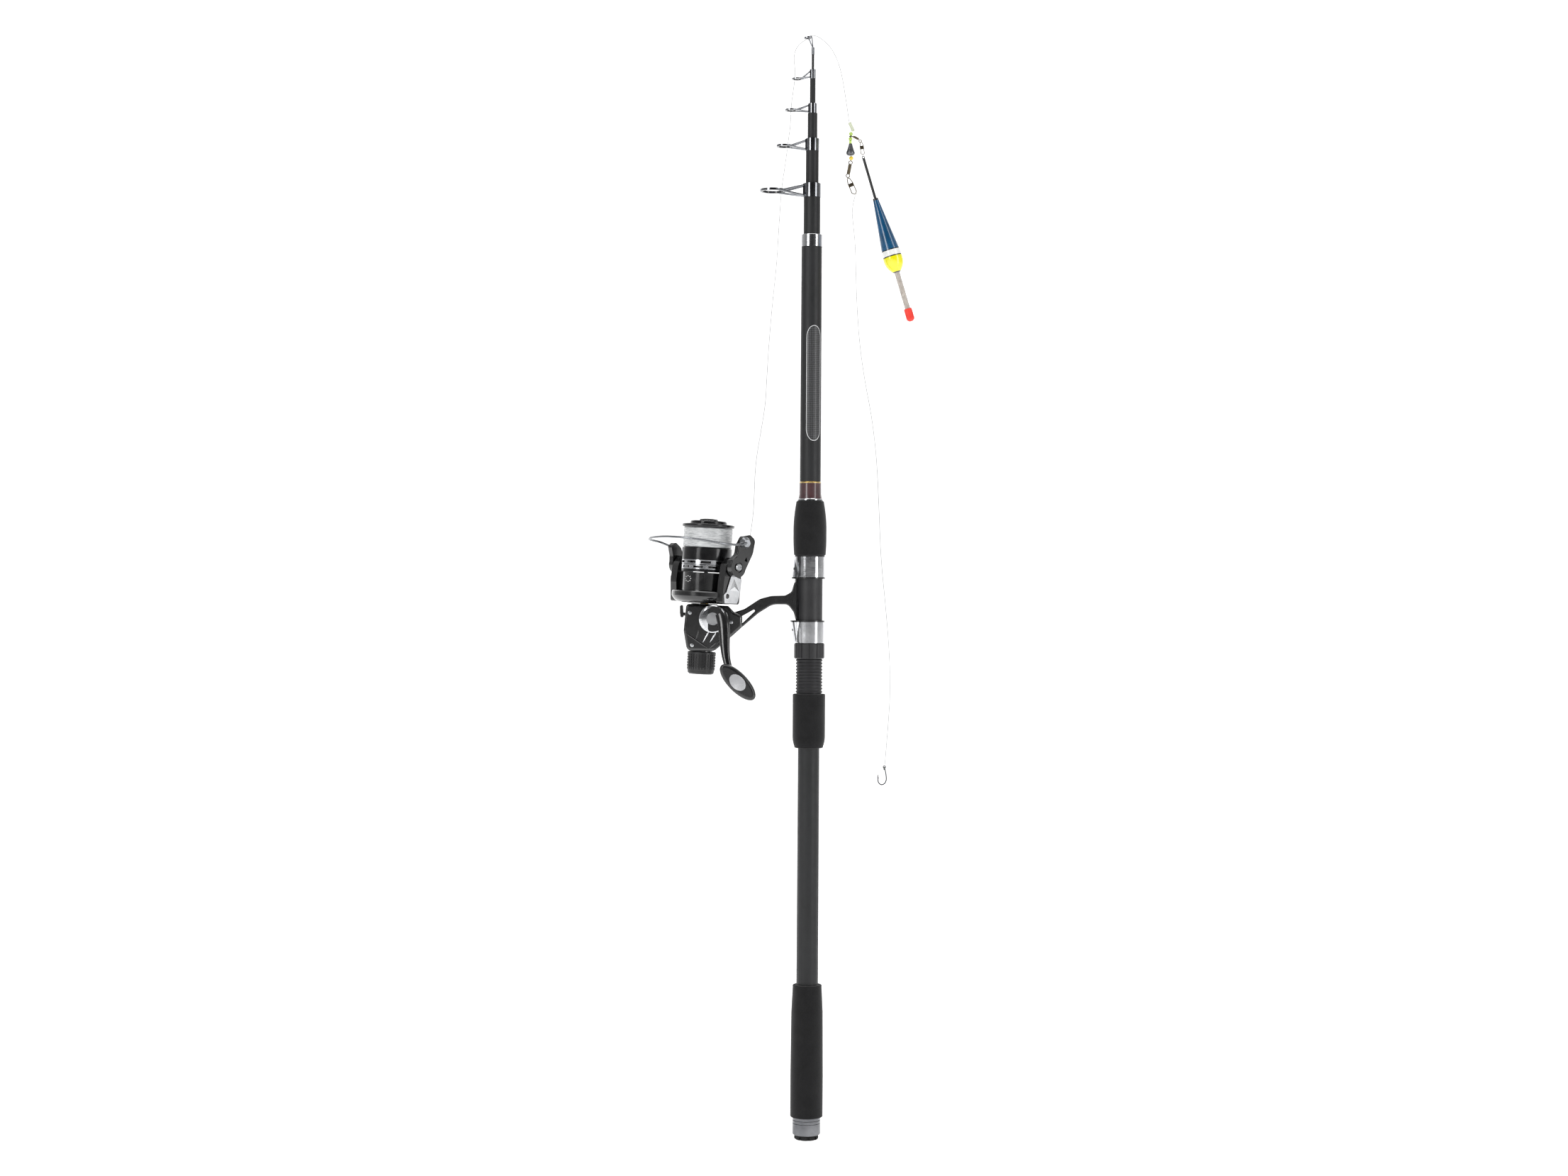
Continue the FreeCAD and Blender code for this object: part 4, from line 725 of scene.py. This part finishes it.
def dress(mats):
    for node in ["butt_blank", "section_2", "section_3", "section_4", "section_5", "section_6"]:
        cover(node, mats["blank"])
    for node in ["rear_grip", "middle_grip", "fore_grip"]:
        cover(node, mats["foam"])
    for node in ["reel_seat", "lock_nut"]:
        cover(node, mats["seat"])
    for node in ["reel_body", "side_cover", "rotor", "bail_arm", "bail_holder", "crank_arm"]:
        cover(node, mats["reel"])
    for node in ["drag_knob", "anti_reverse_lever", "spool_button", "oscillation_gear"]:
        cover(node, mats["black"])
    for node in ["drive_gear", "pinion", "shaft_slider"]:
        cover(node, mats["brass"])
    for node in ["housing_screws", "rotor_screws", "main_shaft", "ball_bearings"]:
        cover(node, mats["steel"])
    for node in ["crank_hub", "rotor_plates", "line_roller"]:
        cover(node, mats["silver"])
    for node, key in {"butt_foot": "rubber", "butt_cap": "cap", "mouth_ring": "chrome", "bail_wire": "wire",
                      "spool": "spool", "drag_washers": "felt", "sinker": "lead", "rig_swivels": "bronze",
                      "hook": "hook", "float_body": "float"}.items():
        cover(node, mats[key])
    split("fixed_hood", lambda x, y, z: z < 534.45, mats["chrome"], mats["black_gloss"])
    split("moving_hood", lambda x, y, z: z > 491.75, mats["chrome"], mats["black_gloss"])
    split("handle_winding", lambda x, y, z: z < 609.0, mats["winding"], mats["chrome"])
    for node, (x0, radius, wire) in GUIDE_RINGS.items():
        split(node, lambda x, y, z: np.hypot(x - x0, y) < radius - wire * 1.02,
              mats["guide"], mats["ceramic"])
    split("tip_top", lambda x, y, z: (np.hypot(x + 4.6, y) < 2.9) & (z > 1046),
          mats["guide"], mats["ceramic"])

    def inside_skirt(x, y, z):      # the tube and the hub within the bright bands are plain black
        from_axis = np.stack([x, y, z]) - np.array(LEAN_AT)[:, None]
        along = np.array(SPOOL_AXIS) @ from_axis
        off = np.linalg.norm(from_axis - np.array(SPOOL_AXIS)[:, None] * along, axis=0)
        return (off < 22.85) & (along < 40.5)
    split("spool", inside_skirt, mats["spool"], mats["black_gloss"])

    def on_plate(x, y, z):
        u = ((x - KNOB_AT[0]) - (z - KNOB_AT[1])) / math.sqrt(2)
        v = ((x - KNOB_AT[0]) + (z - KNOB_AT[1])) / math.sqrt(2)
        return ((u / 8.85) ** 2 + (v / 6.15) ** 2 <= 1.01) & (y < -72.8)
    split("crank_knob", on_plate, mats["knob"], mats["chrome"])
    cover("float_stem", mats["stem"], mats["tube"], mats["cap_red"])
    mesh = nodes["float_stem"].data
    for polygon in mesh.polygons:
        low = along_float(polygon.center.x / MM, polygon.center.z / MM)
        polygon.material_index = 2 if low < -150.7 else 1 if low < -100 else 0
    cover("rig_beads", mats["bead_green"], mats["bead_yellow"], mats["silicone"])
    for polygon in nodes["rig_beads"].data.polygons:
        z = polygon.center.z / MM
        polygon.material_index = 2 if z > 959.5 else 1 if z < 936 else 0


def make_materials():
    return {
        "blank": make_blank(), "foam": make_foam(), "rubber": make_rubber(), "winding": make_winding(),
        "seat": moulded("seat_plastic", "18181a", "222224", 0.46, grain=0.00006),
        "reel": moulded("reel_black", "0d0d0e", "161617", 0.2, grain=0.00001, coat=0.8, rubbed="3c3c3e"),
        "black": moulded("black_plastic", "121213", "1b1b1c", 0.4, grain=0.00005),
        "black_gloss": moulded("black_gloss", "0b0b0c", "141415", 0.24, grain=0.00002, coat=0.5),
        "knob": moulded("knob_black", "0e0e0f", "181819", 0.28, grain=0.00002, coat=0.35, coat_rough=0.2),
        "ceramic": moulded("ring_insert", "1c1d20", "2b2c30", 0.18, grain=0.00001, coat=0.4),
        "cap": polished("cap_metal", "5a5b5e", "7d7e81", 0.15, stretch=(1, 1, 22)),
        "chrome": polished("polished_steel", "c9cacd", "e4e5e7", 0.09, stretch=(0.3, 0.3, 9)),
        "guide": polished("guide_chrome", "77797d", "a2a4a8", 0.1),
        "silver": polished("silver_trim", "c4c6c9", "e6e7e9", 0.12, stretch=(3, 3, 3)),
        "steel": polished("steel", "a6a8ab", "c6c8ca", 0.22, stretch=(4, 4, 4)),
        "brass": polished("gear_metal", "a5854a", "c7a768", 0.28, stretch=(4, 4, 4)),
        "wire": polished("gunmetal_wire", "77797c", "939598", 0.24, stretch=(2, 2, 2)),
        "bronze": polished("rig_metal", "4b4438", "7b705c", 0.3, stretch=(3, 3, 3), scratches=0.00003),
        "hook": polished("hook_steel", "2f3134", "505256", 0.22, stretch=(2, 2, 6)),
        "spool": make_spool_finish(), "wound": make_wound_line(), "line": make_line_nylon(),
        "felt": moulded("fibre_washer", "3a352f", "4b453d", 0.85, grain=0.0002),
        "float": make_float_paint(), "lead": make_lead(), "weave": make_weave(),
        "stem": moulded("float_stem", "0f1011", "1a1b1c", 0.3, grain=0.00003, coat=0.3),
        "tube": make_clear("float_tube", "aea59d", "cbc3bb", through=0.1, scatter=0.15),
        "cap_red": moulded("float_cap", "e02f20", "f24334", 0.45, grain=0.00008),
        "bead_green": make_clear("bead_green", "b9d65a", "d5ec8a", 0.12, 0.5),
        "bead_yellow": make_clear("bead_yellow", "e8c62a", "f4dc55", 0.2, 0.2),
        "silicone": make_clear("silicone", "cfd6ba", "e2e6d2", 0.3, 0.5),
        "print": moulded("pale_print", "c2c3c4", "d6d7d8", 0.42, grain=0.00002),
    }


# ------------------------------------------------------------------ studio
def area_light(name, at, aim, size, watts):
    data = bpy.data.lights.new(name, "AREA")
    data.shape, data.size, data.size_y, data.energy = "RECTANGLE", size[0], size[1], watts
    obj = bpy.data.objects.new(name, data)
    scene.collection.objects.link(obj)
    obj.location = at
    obj.rotation_euler = (Vector(aim) - Vector(at)).to_track_quat("-Z", "Y").to_euler()


def make_studio():
    """A white floor that curves up into a far backdrop, soft boxes either side and above.

    The surround goes from dark in front to pale behind, so that polished metal has both to reflect.
    """
    half_width, near, far, bend, top, steps = 20.0, -16.0, 13.0, 3.0, 16.0, 24
    profile = [(near, 0.0), (far, 0.0)]
    profile += [(far + bend * math.sin(a), bend * (1 - math.cos(a)))
                for a in (math.pi / 2 * k / steps for k in range(1, steps + 1))]
    profile.append((far + bend, top))
    verts = [(x, y, z) for y, z in profile for x in (-half_width, half_width)]
    mesh = bpy.data.meshes.new("backdrop")
    mesh.from_pydata(verts, [], grid_faces(len(profile), 2))
    floor = bpy.data.objects.new("backdrop", mesh)
    scene.collection.objects.link(floor)
    smooth(floor)
    p = Paint("backdrop", Emission_Color=(1, 1, 1, 1), Emission_Strength=0.8)
    paper = p.ramp(p.noise(0.6, 2), [(0.3, (0.86, 0.86, 0.86, 1)), (0.7, (0.9, 0.9, 0.9, 1))])
    mesh.materials.append(p.done(paper, p.remap(p.noise(3), 0.75, 0.85)))
    world = bpy.data.worlds.new("surround")
    world.use_nodes = True
    tree = world.node_tree
    background = tree.nodes["Background"]
    coords = tree.nodes.new("ShaderNodeTexCoord")
    parts = tree.nodes.new("ShaderNodeSeparateXYZ")
    ramp = tree.nodes.new("ShaderNodeValToRGB")
    tree.links.new(coords.outputs["Generated"], parts.inputs[0])
    shade = tree.nodes.new("ShaderNodeMapRange")
    shade.inputs["From Min"].default_value, shade.inputs["From Max"].default_value = -1.0, 0.6
    tree.links.new(parts.outputs["Y"], shade.inputs["Value"])
    tree.links.new(shade.outputs["Result"], ramp.inputs["Fac"])
    ramp.color_ramp.elements[0].color = (0.05, 0.05, 0.052, 1)
    ramp.color_ramp.elements[1].color = (0.75, 0.75, 0.75, 1)
    tree.links.new(ramp.outputs["Color"], background.inputs["Color"])
    background.inputs["Strength"].default_value = 0.7
    scene.world = world
    area_light("key", (-1.7, -2.0, 1.7), (0, 0, 0.6), (0.8, 2.2), 30)
    area_light("fill", (2.0, -1.5, 1.2), (0, 0, 0.5), (0.7, 2.4), 20)
    area_light("top", (0.0, -0.3, 2.9), (0, 0, 0.4), (2.0, 1.4), 20)
    scene.view_settings.view_transform = "Standard"
    scene.view_settings.look = "None"


make_camera()
mats = make_materials()
make_cords(mats["line"])
dress(mats)
make_label(mats["weave"], mats["print"])
make_wound_pack(mats["wound"])
make_details(mats)
make_whipping(mats["line"])
make_studio()
